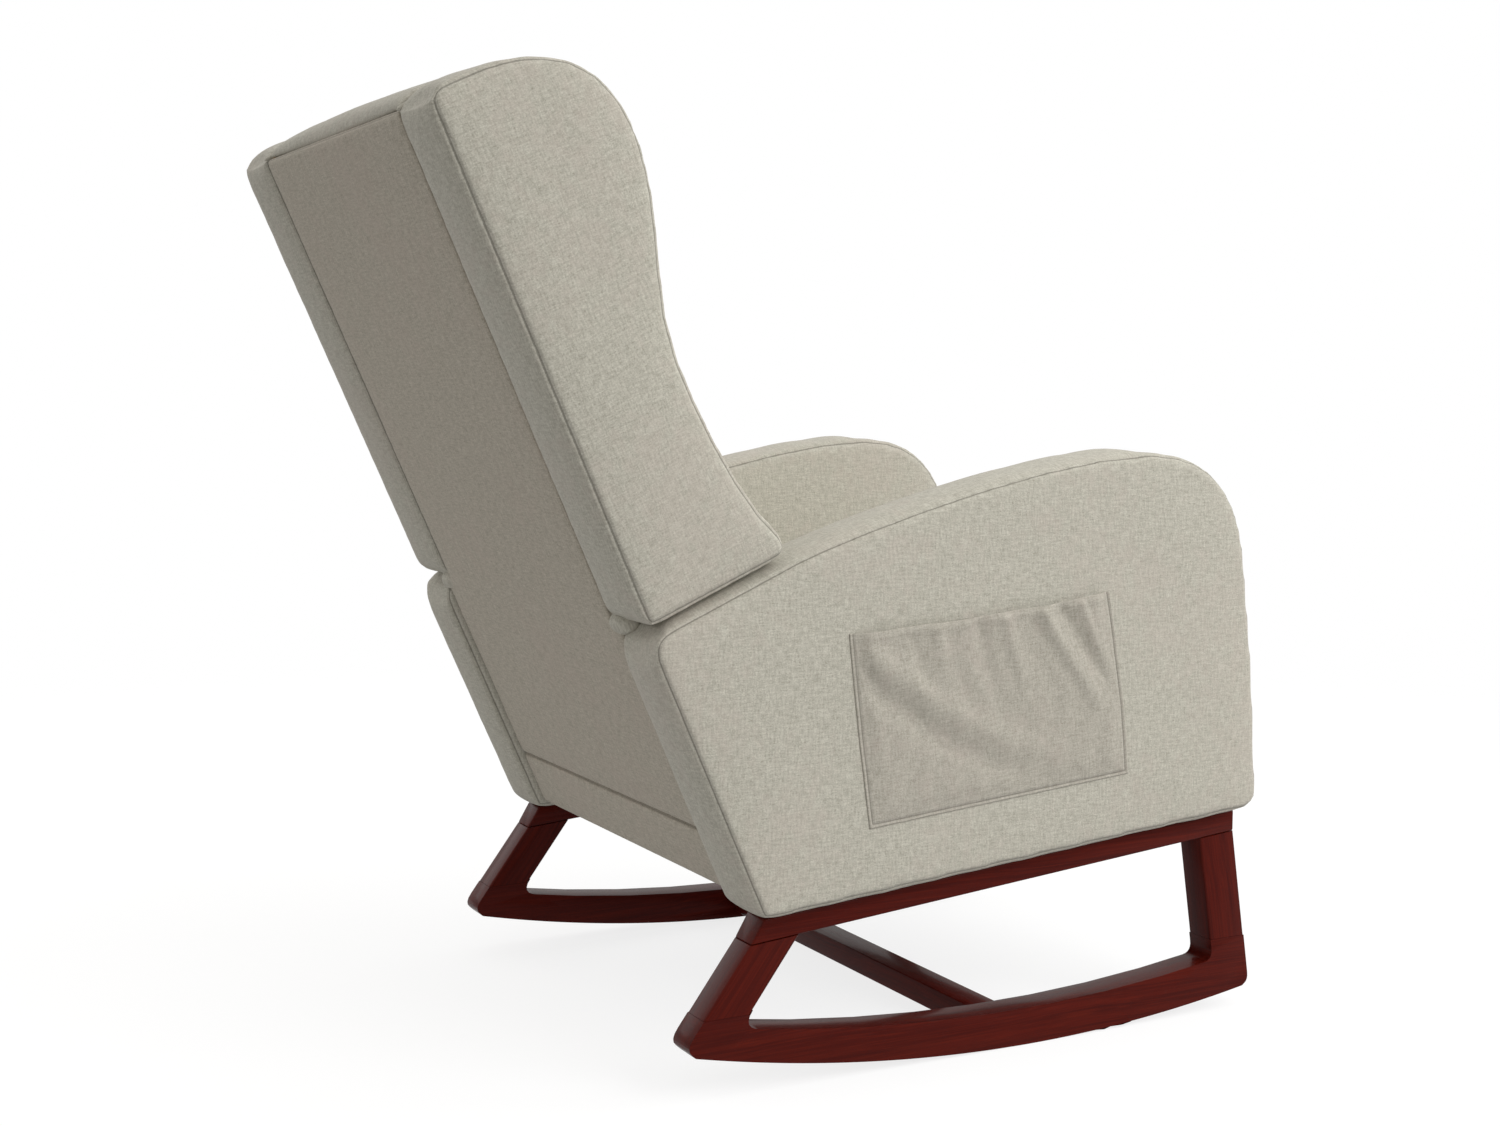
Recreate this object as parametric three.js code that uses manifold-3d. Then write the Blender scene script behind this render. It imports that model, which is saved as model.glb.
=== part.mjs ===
// A wingback rocking chair, in millimetres, with +Z up. The sitter faces -Y, and X runs across the chair.
// Side outlines are drawn as (y, z): y grows to the rear, and the runners touch the floor at y = 0.
// The chair is built as four groups: the two rocker frames, the tilted seat, the reclined back, and the sides.
// Pieces that touch keep a gap between them, so every piece is a solid of its own.

import * as THREE from "three";
import { mergeVertices } from "three/addons/utils/BufferGeometryUtils.js";
import Module from "manifold-3d";

const GAP = 0.3; // between pieces that touch
const DOWEL_CLEARANCE = 0.3; // round a dowel, bolt or screw
const BORE_SIDES = 12;
const CURVE_STEPS = 6;
const RUNNER_TOP_STEPS = 8;

// Rocker frames
const FRAME_INSET = 21; // from an arm's outer face in to the rocker frame's outer face
const FRAME_THICKNESS = 37;
const ROCKER_RADIUS = 1818;
const FLOOR_FACET = 200; // length of each flat of a runner's underside
const RUNNER_HEIGHT = 40; // at the lowest point of its top edge
const RUNNER_TOP_RADIUS = 1936;
const RUNNER_TOP_LOW = 25; // where the top edge is lowest
const RAIL_HEIGHT = 24;
const RAIL_TOP = 205; // above the floor at y = 0
const SEAT_TILT = THREE.MathUtils.degToRad(4.9); // rail, seat and arm bottoms fall to the rear
const RAIL_FRONT = -269;
const FRONT_LEG_WIDTH = 48;
const FRONT_LEG_RAKE = THREE.MathUtils.degToRad(8.5);
const REAR_LEG_WIDTH = 41;
const REAR_LEG_RAKE = THREE.MathUtils.degToRad(37);
const REAR_LEG_BACK = 345; // the rear leg's rear edge where it meets the rail
const RAIL_END_RAKE = THREE.MathUtils.degToRad(31);
const INNER_CORNER_RADIUS = 13;
const TOE_RADIUS = 13;
const LEG_FOOT = 82; // height of the glue joint between a leg and its runner
const DOWEL_RADIUS = 5;
const DOWEL_REACH = 26; // how far a dowel goes into each piece
const STRETCHER_DEPTH = 36;
const STRETCHER_HEIGHT = 26;
const STRETCHER_CENTRE = 36; // behind the floor contact
const STRETCHER_TOP_DROP = 5; // below the top edge of the runners

// Upholstered arms
const SEAT_WIDTH = 512; // between the inner faces of the arms
const ARM_THICKNESS = 85;
const CROWN = 6; // how far the boxing swells past its seams
const SEAM_WIDTH = 12; // how far in from each side face the boxing swells
const ARM_HEIGHT = 426; // from the rail's top to the arm's crest
const ARM_CREST = -127; // where along the chair the arm is highest
const ARM_NOSE = { y: -259, drop: 116 }; // where the arm's rounded front ends, below the crest
const ARM_TOE = -284;
const ARM_STEP = 8; // how far the arm's rear lies behind the wing's rear
const ARM_REST = 165; // length of the straight part of the arm's top that a wing stands on
const ARM_CORNER_RADIUS = 25;
const ARM_TOE_RADIUS = 18;
const ARM_HEEL_RADIUS = 5;

// Wings and back
const RECLINE = THREE.MathUtils.degToRad(23.64);
const BACK_FOOT = { y: 461, z: 273 }; // rear lower corner of a wing, above the rail's top
const WING_OVERHANG = 16; // how far a wing's inner face stands in from the arm's inner face
const WING_THICKNESS = 97;
const WING_HEIGHT = 527; // up the recline
const WING_HEAD_DEPTH = 174;
const WING_HEAD_HEIGHT = 0.806; // where the head is deepest, as a share of the wing's height
const WING_WAIST_DEPTH = 127;
const WING_WAIST_HEIGHT = 0.408;
const WING_TOE_DEPTH = 161;
const WING_TOE_HEIGHT = 15;
const WING_CORNER_RADIUS = 14;
const BACK_PANEL_THICKNESS = 8;
const BACK_TOP_DROP = 6; // the back's top seam below the wings' rear corners
const BACK_SEAM = -245; // between the back panel and the lower back panel, down the recline
const HEM_LIFT = 15; // bottom edge of the lower back panel, above the rail's top
const TOP_CROWN = 12;

// Wooden frame inside the upholstery
const ARM_PADDING = 22;
const WING_PADDING = 26;
const PLYWOOD = 18;
const ARM_BASE_WIDTH = 34;
const ARM_BASE_HEIGHT = 45;
const ARM_BASE_FRONT = -250;
const ARM_BASE_REAR = 305;
const WING_CLEAT_DEPTH = 30;
const POST_WIDTH = 34;
const POST_DEPTH = 45;
const POST_FOOT = -314; // down the recline
const BACK_RAIL_HEIGHT = 60;
const SEAT_RAIL_WIDTH = 28;
const SEAT_RAIL_HEIGHT = 62;
const SEAT_RAIL_LIFT = 12; // bottom of the seat frame above the rail's top
const SEAT_FRAME_FRONT = -262;
const BOLT_RADIUS = 4;
const BOLT_HEAD_RADIUS = 8;
const BOLT_HEAD_HEIGHT = 5;
const BOLT_LENGTH = 62;
const BOLT_PLACES = [-170, 235]; // along the rail
const SCREW_RADIUS = 3;
const SCREW_HEAD_RADIUS = 6;
const SCREW_HEAD_HEIGHT = 4;
const SCREW_PLACES = [-140, 195];
const SPRING_COUNT = 4;
const SPRING_WIRE_RADIUS = 1.8;
const SPRING_WAVE = 22; // half the width of a spring's zigzag
const SPRING_TURNS = 5;
const STRAP_WIDTH = 60;
const STRAP_THICKNESS = 3;
const STRAP_PLACES = [0.2, 0.6]; // as shares of the wing's height

// Seat and inside back
const CUSHION_GAP = 4; // between the cushion and the arms and back
const CUSHION_TOP = 222; // above the rail's top
const CUSHION_FRONT = -286;
const CUSHION_RADIUS = 24;
const BORDER_THICKNESS = 14;
const PAD_DEPTH = 115; // from the back's rear plane to the front of the inside pad
const LUMBAR_SWELL = 34;
const LUMBAR_HEIGHT = -60;
const PAD_FOOT = -225; // down the recline
const DUST_COVER_THICKNESS = 2;

// Side pockets, measured along the rail and up from its top
const POCKET_FRONT = -99;
const POCKET_REAR = 226;
const POCKET_BOTTOM = 75;
const POCKET_TOP = 275;
const POCKET_ROOM = 5.5; // between the pocket's cloth and the arm
const POCKET_CLOTH = 2;
const POCKET_HEM = 9; // width of the border sewn to the arm

const WOOD = { color: 0x551f1a, roughness: 0.35, metalness: 0 };
const RAW_WOOD = { color: 0xb08d5f, roughness: 0.7, metalness: 0 };
const LINEN = { color: 0xb6b1a3, roughness: 0.95, metalness: 0 };
const LINING = { color: 0x2b2b2b, roughness: 0.95, metalness: 0 };
const STEEL = { color: 0x9a9a9a, roughness: 0.35, metalness: 1 };

const SIDES = [
  { name: "left", sign: 1 },
  { name: "right", sign: -1 },
];
const ARM_INNER = SEAT_WIDTH / 2;
const ARM_OUTER = ARM_INNER + ARM_THICKNESS;
const FRAME_OUTER = ARM_OUTER - FRAME_INSET;
const FRAME_INNER = FRAME_OUTER - FRAME_THICKNESS;
const FRAME_MIDDLE = (FRAME_OUTER + FRAME_INNER) / 2;
const ARM_DROP = 2 * CROWN + GAP; // between the seam lines of a wing's foot and the arm below it
const WING_INNER = ARM_INNER - WING_OVERHANG;
const WING_OUTER = WING_INNER + WING_THICKNESS;
const BACK_TOP = WING_HEIGHT - BACK_TOP_DROP;
const POST_REAR = -1 - BACK_PANEL_THICKNESS - GAP;
const POST_FRONT = POST_REAR - POST_DEPTH;
const STRAP_FRONT = POST_FRONT - GAP - STRAP_THICKNESS;
const POST_OUTER = WING_INNER - GAP;
const POST_INNER = POST_OUTER - POST_WIDTH;
const SEAT_RAIL_TOP = SEAT_RAIL_LIFT + SEAT_RAIL_HEIGHT;
const SEAT_SIDE_OUTER = ARM_INNER - GAP;
const SEAT_SIDE_INNER = SEAT_SIDE_OUTER - SEAT_RAIL_WIDTH;
const SPRING_LIFT = SEAT_RAIL_TOP + GAP + SPRING_WIRE_RADIUS;
const CUSHION_BOTTOM = SPRING_LIFT + SPRING_WIRE_RADIUS + GAP;

const SIDE_VIEW = new THREE.Matrix4().makeBasis(
  new THREE.Vector3(0, 1, 0),
  new THREE.Vector3(0, 0, 1),
  new THREE.Vector3(1, 0, 0),
);

const wasm = await Module();
wasm.setup();

// The seat's y runs along the rails and its z is the lift above them. The back's z runs up the recline
// from the wings' rear lower corner, and its y is zero on the back's rear plane and negative in front of it.
const chair = new THREE.Group();
const rockers = new THREE.Group();
const upper = new THREE.Group();
const seat = new THREE.Group();
const back = new THREE.Group();
upper.position.z = RAIL_TOP;
seat.rotation.x = -SEAT_TILT;
back.position.set(0, BACK_FOOT.y, BACK_FOOT.z);
back.rotation.x = -RECLINE;
upper.add(seat, back);
chair.add(rockers, upper);
chair.updateMatrixWorld(true);

function solidOf(geometry) {
  const loose = geometry.index ? geometry.toNonIndexed() : geometry;
  const bare = new THREE.BufferGeometry();
  bare.setAttribute("position", loose.getAttribute("position"));
  const merged = mergeVertices(bare, 1e-3);
  return new wasm.Manifold(
    new wasm.Mesh({
      numProp: 3,
      vertProperties: merged.attributes.position.array,
      triVerts: new Uint32Array(merged.index.array),
    }),
  );
}

function geometryOf(solid) {
  const mesh = solid.getMesh();
  const geometry = new THREE.BufferGeometry();
  geometry.setAttribute("position", new THREE.BufferAttribute(mesh.vertProperties, 3));
  geometry.setIndex(new THREE.BufferAttribute(mesh.triVerts, 1));
  return geometry;
}

function cut(geometry, ...tools) {
  return geometryOf(tools.reduce((rest, tool) => rest.subtract(solidOf(tool)), solidOf(geometry)));
}

function join(...geometries) {
  return geometryOf(geometries.map(solidOf).reduce((whole, next) => whole.add(next)));
}

// A geometry made in one group's frame, as it lies in another group's frame.
function moved(geometry, from, to) {
  const change = to.matrixWorld.clone().invert().multiply(from.matrixWorld);
  return geometry.clone().applyMatrix4(change);
}

// A point made in one group's frame, as it lies in another group's frame.
function pointMoved({ y, z }, from, to) {
  const point = new THREE.Vector3(0, y, z).applyMatrix4(from.matrixWorld);
  point.applyMatrix4(to.matrixWorld.clone().invert());
  return { y: point.y, z: point.z };
}

// A line made in one group's frame through a point, along y or up z, as it lies in another group's frame.
function lineMoved(through, along, from, to) {
  const start = pointMoved(through, from, to);
  const next = pointMoved({ y: through.y + along.y, z: through.z + along.z }, from, to);
  return { ...start, run: new THREE.Vector2(next.y - start.y, next.z - start.z) };
}

const ALONG = { y: 1, z: 0 };
const UP = { y: 0, z: 1 };

// Where two lines meet, each given by a point and its run.
function crossing(a, b) {
  const u = a.run;
  const v = b.run;
  const t = ((b.y - a.y) * v.y - (b.z - a.z) * v.x) / (u.x * v.y - u.y * v.x);
  return { y: a.y + u.x * t, z: a.z + u.y * t };
}

// The corners of a polygon, listed anticlockwise, moved inwards by a distance.
function inset(corners, distance) {
  const edges = corners.map((corner, i) => {
    const next = corners[(i + 1) % corners.length];
    const run = new THREE.Vector2(next.y - corner.y, next.z - corner.z).normalize();
    return { y: corner.y - run.y * distance, z: corner.z + run.x * distance, run };
  });
  return edges.map((edge, i) => {
    const last = edges[(i + edges.length - 1) % edges.length];
    const r = corners[i].r ? corners[i].r - distance : 0;
    return { ...crossing(last, edge), r };
  });
}

// A closed outline through corners given as { y, z, r }, each rounded by its radius r.
function outlineOf(corners) {
  const shape = new THREE.Shape();
  const points = corners.map((corner) => new THREE.Vector2(corner.y, corner.z));
  corners.forEach((corner, i) => {
    const here = points[i];
    const before = points[(i + points.length - 1) % points.length].clone().sub(here).normalize();
    const after = points[(i + 1) % points.length].clone().sub(here).normalize();
    const radius = corner.r ?? 0;
    const setback = radius / Math.tan(before.angleTo(after) / 2);
    const entry = here.clone().addScaledVector(before, setback);
    const exit = here.clone().addScaledVector(after, setback);
    if (i === 0) shape.moveTo(entry.x, entry.y);
    else shape.lineTo(entry.x, entry.y);
    if (radius > 0) shape.quadraticCurveTo(here.x, here.y, exit.x, exit.y);
  });
  shape.closePath();
  return shape;
}

// Corners along a cubic curve from a to d, with control points b and c. The first point is left out.
function curve(a, b, c, d, steps) {
  const points = [a, b, c, d].map((point) => new THREE.Vector2(point.y, point.z));
  const path = new THREE.CubicBezierCurve(...points);
  return path.getPoints(steps).slice(1).map((point) => ({ y: point.x, z: point.y }));
}

// Extrudes a side outline between two distances from the chair's middle, on the side given by sign.
// A swell makes the boxing between the two side faces stand out past the outline.
function sidePlate(corners, inner, outer, sign, swell = 0) {
  const edge = swell > 0 ? SEAM_WIDTH : 0;
  const geometry = new THREE.ExtrudeGeometry(outlineOf(corners), {
    depth: outer - inner - 2 * edge,
    bevelEnabled: swell > 0,
    bevelThickness: edge,
    bevelSize: swell,
    bevelSegments: 2,
    curveSegments: CURVE_STEPS,
  });
  const start = Math.min(sign * inner, sign * outer);
  return geometry.applyMatrix4(SIDE_VIEW).translate(start + edge, 0, 0);
}

function box(low, high) {
  const size = high.map((value, axis) => value - low[axis]);
  const centre = high.map((value, axis) => (value + low[axis]) / 2);
  return new THREE.BoxGeometry(...size).translate(...centre);
}

// A box between two distances from the chair's middle, on the side given by sign.
function sideBox(inner, outer, sign, low, high) {
  const [from, to] = [sign * inner, sign * outer].sort((a, b) => a - b);
  return box([from, ...low], [to, ...high]);
}

// A shape turned about the line from one point to another; its profile runs along that line.
function turned(profile, from, to) {
  const run = new THREE.Vector3(...to).sub(new THREE.Vector3(...from)).normalize();
  const turn = new THREE.Quaternion().setFromUnitVectors(new THREE.Vector3(0, 1, 0), run);
  const points = profile.map(([radius, height]) => new THREE.Vector2(radius, height));
  return new THREE.LatheGeometry(points, BORE_SIDES).applyQuaternion(turn).translate(...from);
}

function lengthOf(from, to) {
  return new THREE.Vector3(...from).distanceTo(new THREE.Vector3(...to));
}

// A rod between two points, or its hole when there is room round it and past its ends.
function rod([from, to], radius, room = 0) {
  const length = lengthOf(from, to);
  const profile = [
    [0, -room],
    [radius + room, -room],
    [radius + room, length + room],
    [0, length + room],
  ];
  return turned(profile, from, to);
}

// A bolt or screw from the outside of its head to its tip, or its hole when there is room round it.
function fastener([from, to], size, room = 0, headRoom = 0) {
  const length = lengthOf(from, to);
  const profile = [
    [0, -headRoom],
    [size.headRadius + room, -headRoom],
    [size.headRadius + room, size.headHeight + room],
    [size.radius + room, size.headHeight + room],
    [size.radius + room, length + room],
    [0, length + room],
  ];
  return turned(profile, from, to);
}

function add(group, name, geometry, finish) {
  const mesh = new THREE.Mesh(geometry, new THREE.MeshStandardMaterial(finish));
  mesh.name = name;
  group.add(mesh);
}

function railTopAt(y) {
  return RAIL_TOP - y * Math.tan(SEAT_TILT);
}

function railBottomAt(y) {
  return railTopAt(y) - RAIL_HEIGHT / Math.cos(SEAT_TILT);
}

function runnerTopAt(y) {
  const across = y - RUNNER_TOP_LOW;
  return RUNNER_HEIGHT + RUNNER_TOP_RADIUS - Math.sqrt(RUNNER_TOP_RADIUS ** 2 - across ** 2);
}

function runnerBottomAt(y) {
  return ROCKER_RADIUS - Math.sqrt(ROCKER_RADIUS ** 2 - y ** 2);
}

// The legs' edges, as y at a height: a front leg leans back as it rises, and a rear leg leans forward.
function frontLegFrontAt(z) {
  return RAIL_FRONT - (railBottomAt(RAIL_FRONT) - z) * Math.tan(FRONT_LEG_RAKE);
}

function frontLegBackAt(z) {
  return frontLegFrontAt(z) + FRONT_LEG_WIDTH;
}

function rearLegBackAt(z) {
  return REAR_LEG_BACK + (railBottomAt(REAR_LEG_BACK) - z) * Math.tan(REAR_LEG_RAKE);
}

function rearLegFrontAt(z) {
  return rearLegBackAt(z) - REAR_LEG_WIDTH / Math.cos(REAR_LEG_RAKE);
}

// Where a leg's edge meets a line or curve that gives z from y.
function meet(edgeAt, heightAt, drop = 0) {
  let z = LEG_FOOT;
  for (let i = 0; i < 40; i += 1) z = heightAt(edgeAt(z)) - drop;
  return { y: edgeAt(z), z };
}

function legCorners({ frontAt, backAt }) {
  return [
    meet(frontAt, railBottomAt, GAP),
    { y: frontAt(LEG_FOOT), z: LEG_FOOT },
    { y: backAt(LEG_FOOT), z: LEG_FOOT },
    meet(backAt, railBottomAt, GAP),
  ];
}

// The underside is a row of flats that touch the rocker circle, and one of them lies on the floor.
function undersideCorners(toe, heel) {
  const step = FLOOR_FACET / ROCKER_RADIUS;
  const reach = ROCKER_RADIUS / Math.cos(step / 2);
  const first = Math.ceil((toe.y + 2 * TOE_RADIUS) / FLOOR_FACET);
  const last = Math.floor((heel.y - 2 * TOE_RADIUS) / FLOOR_FACET);
  const corners = [];
  for (let i = first; i < last; i += 1) {
    const angle = (i + 0.5) * step;
    corners.push({ y: reach * Math.sin(angle), z: ROCKER_RADIUS - reach * Math.cos(angle) });
  }
  return corners;
}

function runnerCorners() {
  const toe = meet(frontLegFrontAt, runnerBottomAt);
  const heel = meet(rearLegBackAt, runnerBottomAt);
  const frontNook = meet(frontLegBackAt, runnerTopAt);
  const rearNook = meet(rearLegFrontAt, runnerTopAt);
  const foot = LEG_FOOT - GAP;
  const top = [];
  for (let i = 1; i < RUNNER_TOP_STEPS; i += 1) {
    const y = THREE.MathUtils.lerp(rearNook.y, frontNook.y, i / RUNNER_TOP_STEPS);
    top.push({ y, z: runnerTopAt(y) });
  }
  return [
    { y: frontLegFrontAt(foot), z: foot },
    { ...toe, r: TOE_RADIUS },
    ...undersideCorners(toe, heel),
    { ...heel, r: TOE_RADIUS },
    { y: rearLegBackAt(foot), z: foot },
    { y: rearLegFrontAt(foot), z: foot },
    { ...rearNook, r: INNER_CORNER_RADIUS },
    ...top,
    { ...frontNook, r: INNER_CORNER_RADIUS },
    { y: frontLegBackAt(foot), z: foot },
  ];
}

function railCorners() {
  const rearBottom = { y: REAR_LEG_BACK, z: railBottomAt(REAR_LEG_BACK) };
  const rearEdgeAt = (z) => rearBottom.y - (z - rearBottom.z) * Math.tan(RAIL_END_RAKE);
  return [
    { y: RAIL_FRONT, z: railBottomAt(RAIL_FRONT) },
    rearBottom,
    meet(rearEdgeAt, railTopAt),
    { y: RAIL_FRONT, z: railTopAt(RAIL_FRONT) },
  ];
}

const LEGS = [
  { name: "front", frontAt: frontLegFrontAt, backAt: frontLegBackAt },
  { name: "rear", frontAt: rearLegFrontAt, backAt: rearLegBackAt },
];

// A dowel along the middle of a leg, reaching below and above a height.
function legDowel({ frontAt, backAt }, height, below, above, sign) {
  const middleAt = (z) => (frontAt(z) + backAt(z)) / 2;
  const low = height - below;
  const high = height + above;
  return [
    [sign * FRAME_MIDDLE, middleAt(low), low],
    [sign * FRAME_MIDDLE, middleAt(high), high],
  ];
}

function footDowel(leg, sign) {
  return legDowel(leg, LEG_FOOT, DOWEL_REACH, DOWEL_REACH, sign);
}

function headDowel(leg, sign) {
  const middleAt = (z) => (leg.frontAt(z) + leg.backAt(z)) / 2;
  return legDowel(leg, meet(middleAt, railBottomAt).z, DOWEL_REACH, RAIL_HEIGHT * 0.6, sign);
}

function dowelHole(ends) {
  return rod(ends, DOWEL_RADIUS, DOWEL_CLEARANCE);
}

const BOLT = { radius: BOLT_RADIUS, headRadius: BOLT_HEAD_RADIUS, headHeight: BOLT_HEAD_HEIGHT };
const SCREW = { radius: SCREW_RADIUS, headRadius: SCREW_HEAD_RADIUS, headHeight: SCREW_HEAD_HEIGHT };

// A bolt up through the side rail into the arm's base rail, in the seat's frame.
function railBolt(y, sign) {
  const head = -RAIL_HEIGHT + BOLT_HEAD_HEIGHT / 2;
  return [
    [sign * FRAME_MIDDLE, y, head],
    [sign * FRAME_MIDDLE, y, head + BOLT_LENGTH],
  ];
}

function boltHoles(sign) {
  return BOLT_PLACES.map((y) => fastener(railBolt(y, sign), BOLT, DOWEL_CLEARANCE, RAIL_HEIGHT));
}

function addRockerFrame({ name, sign }) {
  const plate = (corners) => sidePlate(corners, FRAME_INNER, FRAME_OUTER, sign);
  const feet = LEGS.map((leg) => footDowel(leg, sign));
  const heads = LEGS.map((leg) => headDowel(leg, sign));
  const runner = cut(
    plate(runnerCorners()),
    ...feet.map(dowelHole),
    dowelHole(stretcherDowel(sign)),
  );
  const rail = cut(
    plate(railCorners()),
    ...heads.map(dowelHole),
    ...boltHoles(sign).map((hole) => moved(hole, seat, rockers)),
  );
  add(rockers, `${name}_runner`, runner, WOOD);
  add(rockers, `${name}_side_rail`, rail, WOOD);
  LEGS.forEach((leg, i) => {
    const body = cut(plate(legCorners(leg)), dowelHole(feet[i]), dowelHole(heads[i]));
    add(rockers, `${name}_${leg.name}_leg`, body, WOOD);
    add(rockers, `${name}_${leg.name}_foot_dowel`, rod(feet[i], DOWEL_RADIUS), RAW_WOOD);
    add(rockers, `${name}_${leg.name}_head_dowel`, rod(heads[i], DOWEL_RADIUS), RAW_WOOD);
  });
  BOLT_PLACES.forEach((y, i) => {
    add(seat, `${name}_${LEGS[i].name}_rail_bolt`, fastener(railBolt(y, sign), BOLT), STEEL);
  });
}

function stretcherTop() {
  return runnerTopAt(STRETCHER_CENTRE) - STRETCHER_TOP_DROP;
}

function stretcherDowel(sign) {
  const z = stretcherTop() - STRETCHER_HEIGHT / 2;
  return [
    [sign * (FRAME_INNER - DOWEL_REACH), STRETCHER_CENTRE, z],
    [sign * (FRAME_INNER + DOWEL_REACH), STRETCHER_CENTRE, z],
  ];
}

function addStretcher() {
  const end = FRAME_INNER - GAP;
  const top = stretcherTop();
  const bar = box(
    [-end, STRETCHER_CENTRE - STRETCHER_DEPTH / 2, top - STRETCHER_HEIGHT],
    [end, STRETCHER_CENTRE + STRETCHER_DEPTH / 2, top],
  );
  const dowels = SIDES.map(({ sign }) => stretcherDowel(sign));
  add(rockers, "stretcher", cut(bar, ...dowels.map(dowelHole)), WOOD);
  SIDES.forEach(({ name }, i) => {
    add(rockers, `${name}_stretcher_dowel`, rod(dowels[i], DOWEL_RADIUS), RAW_WOOD);
  });
}

// The arm's top is straight and square to the recline under the wing, then curves up to its crest.
function armCorners() {
  const bottom = lineMoved({ y: 0, z: CROWN + GAP }, ALONG, seat, upper);
  const rear = lineMoved({ y: ARM_STEP, z: 0 }, UP, back, upper);
  const corner = pointMoved({ y: ARM_STEP, z: -ARM_DROP }, back, upper);
  const rest = pointMoved({ y: -ARM_REST, z: -ARM_DROP }, back, upper);
  const onward = pointMoved({ y: -ARM_REST - 46, z: -ARM_DROP }, back, upper);
  const crest = { y: ARM_CREST, z: ARM_HEIGHT };
  const nose = { y: ARM_NOSE.y, z: ARM_HEIGHT - ARM_NOSE.drop };
  const toe = crossing(bottom, { y: ARM_TOE, z: 0, run: new THREE.Vector2(0, 1) });
  const cheek = { y: nose.y - 15, z: THREE.MathUtils.lerp(nose.z, toe.z, 0.45) };
  return [
    { ...crossing(bottom, rear), r: ARM_HEEL_RADIUS },
    { ...corner, r: ARM_CORNER_RADIUS },
    rest,
    ...curve(rest, onward, { y: crest.y + 137, z: crest.z }, crest, 7),
    ...curve(crest, { y: crest.y - 78, z: crest.z }, { y: nose.y + 9, z: nose.z + 75 }, nose, 7),
    cheek,
    { ...toe, r: ARM_TOE_RADIUS },
  ];
}

function armBase(sign, room = 0) {
  const half = ARM_BASE_WIDTH / 2 + room;
  return sideBox(
    FRAME_MIDDLE - half,
    FRAME_MIDDLE + half,
    sign,
    [ARM_BASE_FRONT - room, GAP - room],
    [ARM_BASE_REAR + room, GAP + ARM_BASE_HEIGHT + room],
  );
}

function armPanelCorners() {
  const base = lineMoved({ y: 0, z: 2 * GAP + ARM_BASE_HEIGHT }, ALONG, seat, upper);
  const rearFace = ARM_STEP - ARM_PADDING;
  const rear = lineMoved({ y: rearFace, z: 0 }, UP, back, upper);
  const top = ARM_HEIGHT - ARM_PADDING;
  const front = { y: ARM_NOSE.y + ARM_PADDING + 14, z: top - 4, r: 90 };
  const foot = { y: ARM_TOE + ARM_PADDING + 8, z: 0, run: new THREE.Vector2(0, 1) };
  return [
    crossing(base, rear),
    pointMoved({ y: rearFace, z: -ARM_DROP - ARM_PADDING }, back, upper),
    pointMoved({ y: -ARM_REST, z: -ARM_DROP - ARM_PADDING }, back, upper),
    { y: ARM_CREST + 30, z: top },
    front,
    crossing(base, foot),
  ];
}

function armPanel(sign, room = 0) {
  const half = PLYWOOD / 2 + room;
  const corners = inset(armPanelCorners(), -room);
  return sidePlate(corners, FRAME_MIDDLE - half, FRAME_MIDDLE + half, sign);
}

function seatScrew(y, sign) {
  const z = (SEAT_RAIL_LIFT + ARM_BASE_HEIGHT) / 2;
  return [
    [sign * (SEAT_SIDE_INNER + GAP), y, z],
    [sign * (FRAME_MIDDLE + SCREW_HEAD_RADIUS), y, z],
  ];
}

function screwHoles(sign) {
  return SCREW_PLACES.map((y) => fastener(seatScrew(y, sign), SCREW, DOWEL_CLEARANCE, 10));
}

function addArm({ name, sign }) {
  const base = cut(armBase(sign), ...boltHoles(sign), ...screwHoles(sign));
  const pad = cut(
    sidePlate(armCorners(), ARM_INNER, ARM_OUTER, sign, CROWN),
    armPanel(sign, GAP),
    moved(armBase(sign, GAP), seat, upper),
    moved(armBase(sign, GAP).translate(0, 0, -CROWN), seat, upper),
    ...screwHoles(sign).map((hole) => moved(hole, seat, upper)),
  );
  add(seat, `${name}_arm_base_rail`, base, RAW_WOOD);
  add(upper, `${name}_arm_panel`, armPanel(sign), RAW_WOOD);
  add(upper, `${name}_arm_pad`, pad, LINEN);
}

// A wing has a deep head, a narrow waist and a toe that runs forward along the arm.
function wingCorners() {
  const crown = { y: -30, z: WING_HEIGHT + 1 };
  const head = { y: -WING_HEAD_DEPTH, z: WING_HEIGHT * WING_HEAD_HEIGHT };
  const waist = { y: -WING_WAIST_DEPTH, z: WING_HEIGHT * WING_WAIST_HEIGHT };
  const toe = { y: -WING_TOE_DEPTH, z: WING_TOE_HEIGHT };
  const rise = (WING_HEIGHT - head.z) * 0.93;
  const fall = (head.z - waist.z) / 3;
  return [
    { y: 0, z: 0, r: 6 },
    { y: 0, z: WING_HEIGHT, r: WING_CORNER_RADIUS },
    crown,
    ...curve(crown, { y: -95, z: crown.z + 5 }, { y: head.y + 2, z: head.z + rise }, head, 7),
    ...curve(head, { y: head.y, z: head.z - fall }, { y: waist.y, z: waist.z + fall }, waist, 5),
    ...curve(waist, { y: waist.y, z: waist.z * 0.7 }, { y: waist.y - 9, z: waist.z * 0.28 }, toe, 5),
    { y: toe.y, z: 0, r: 9 },
  ];
}

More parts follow.
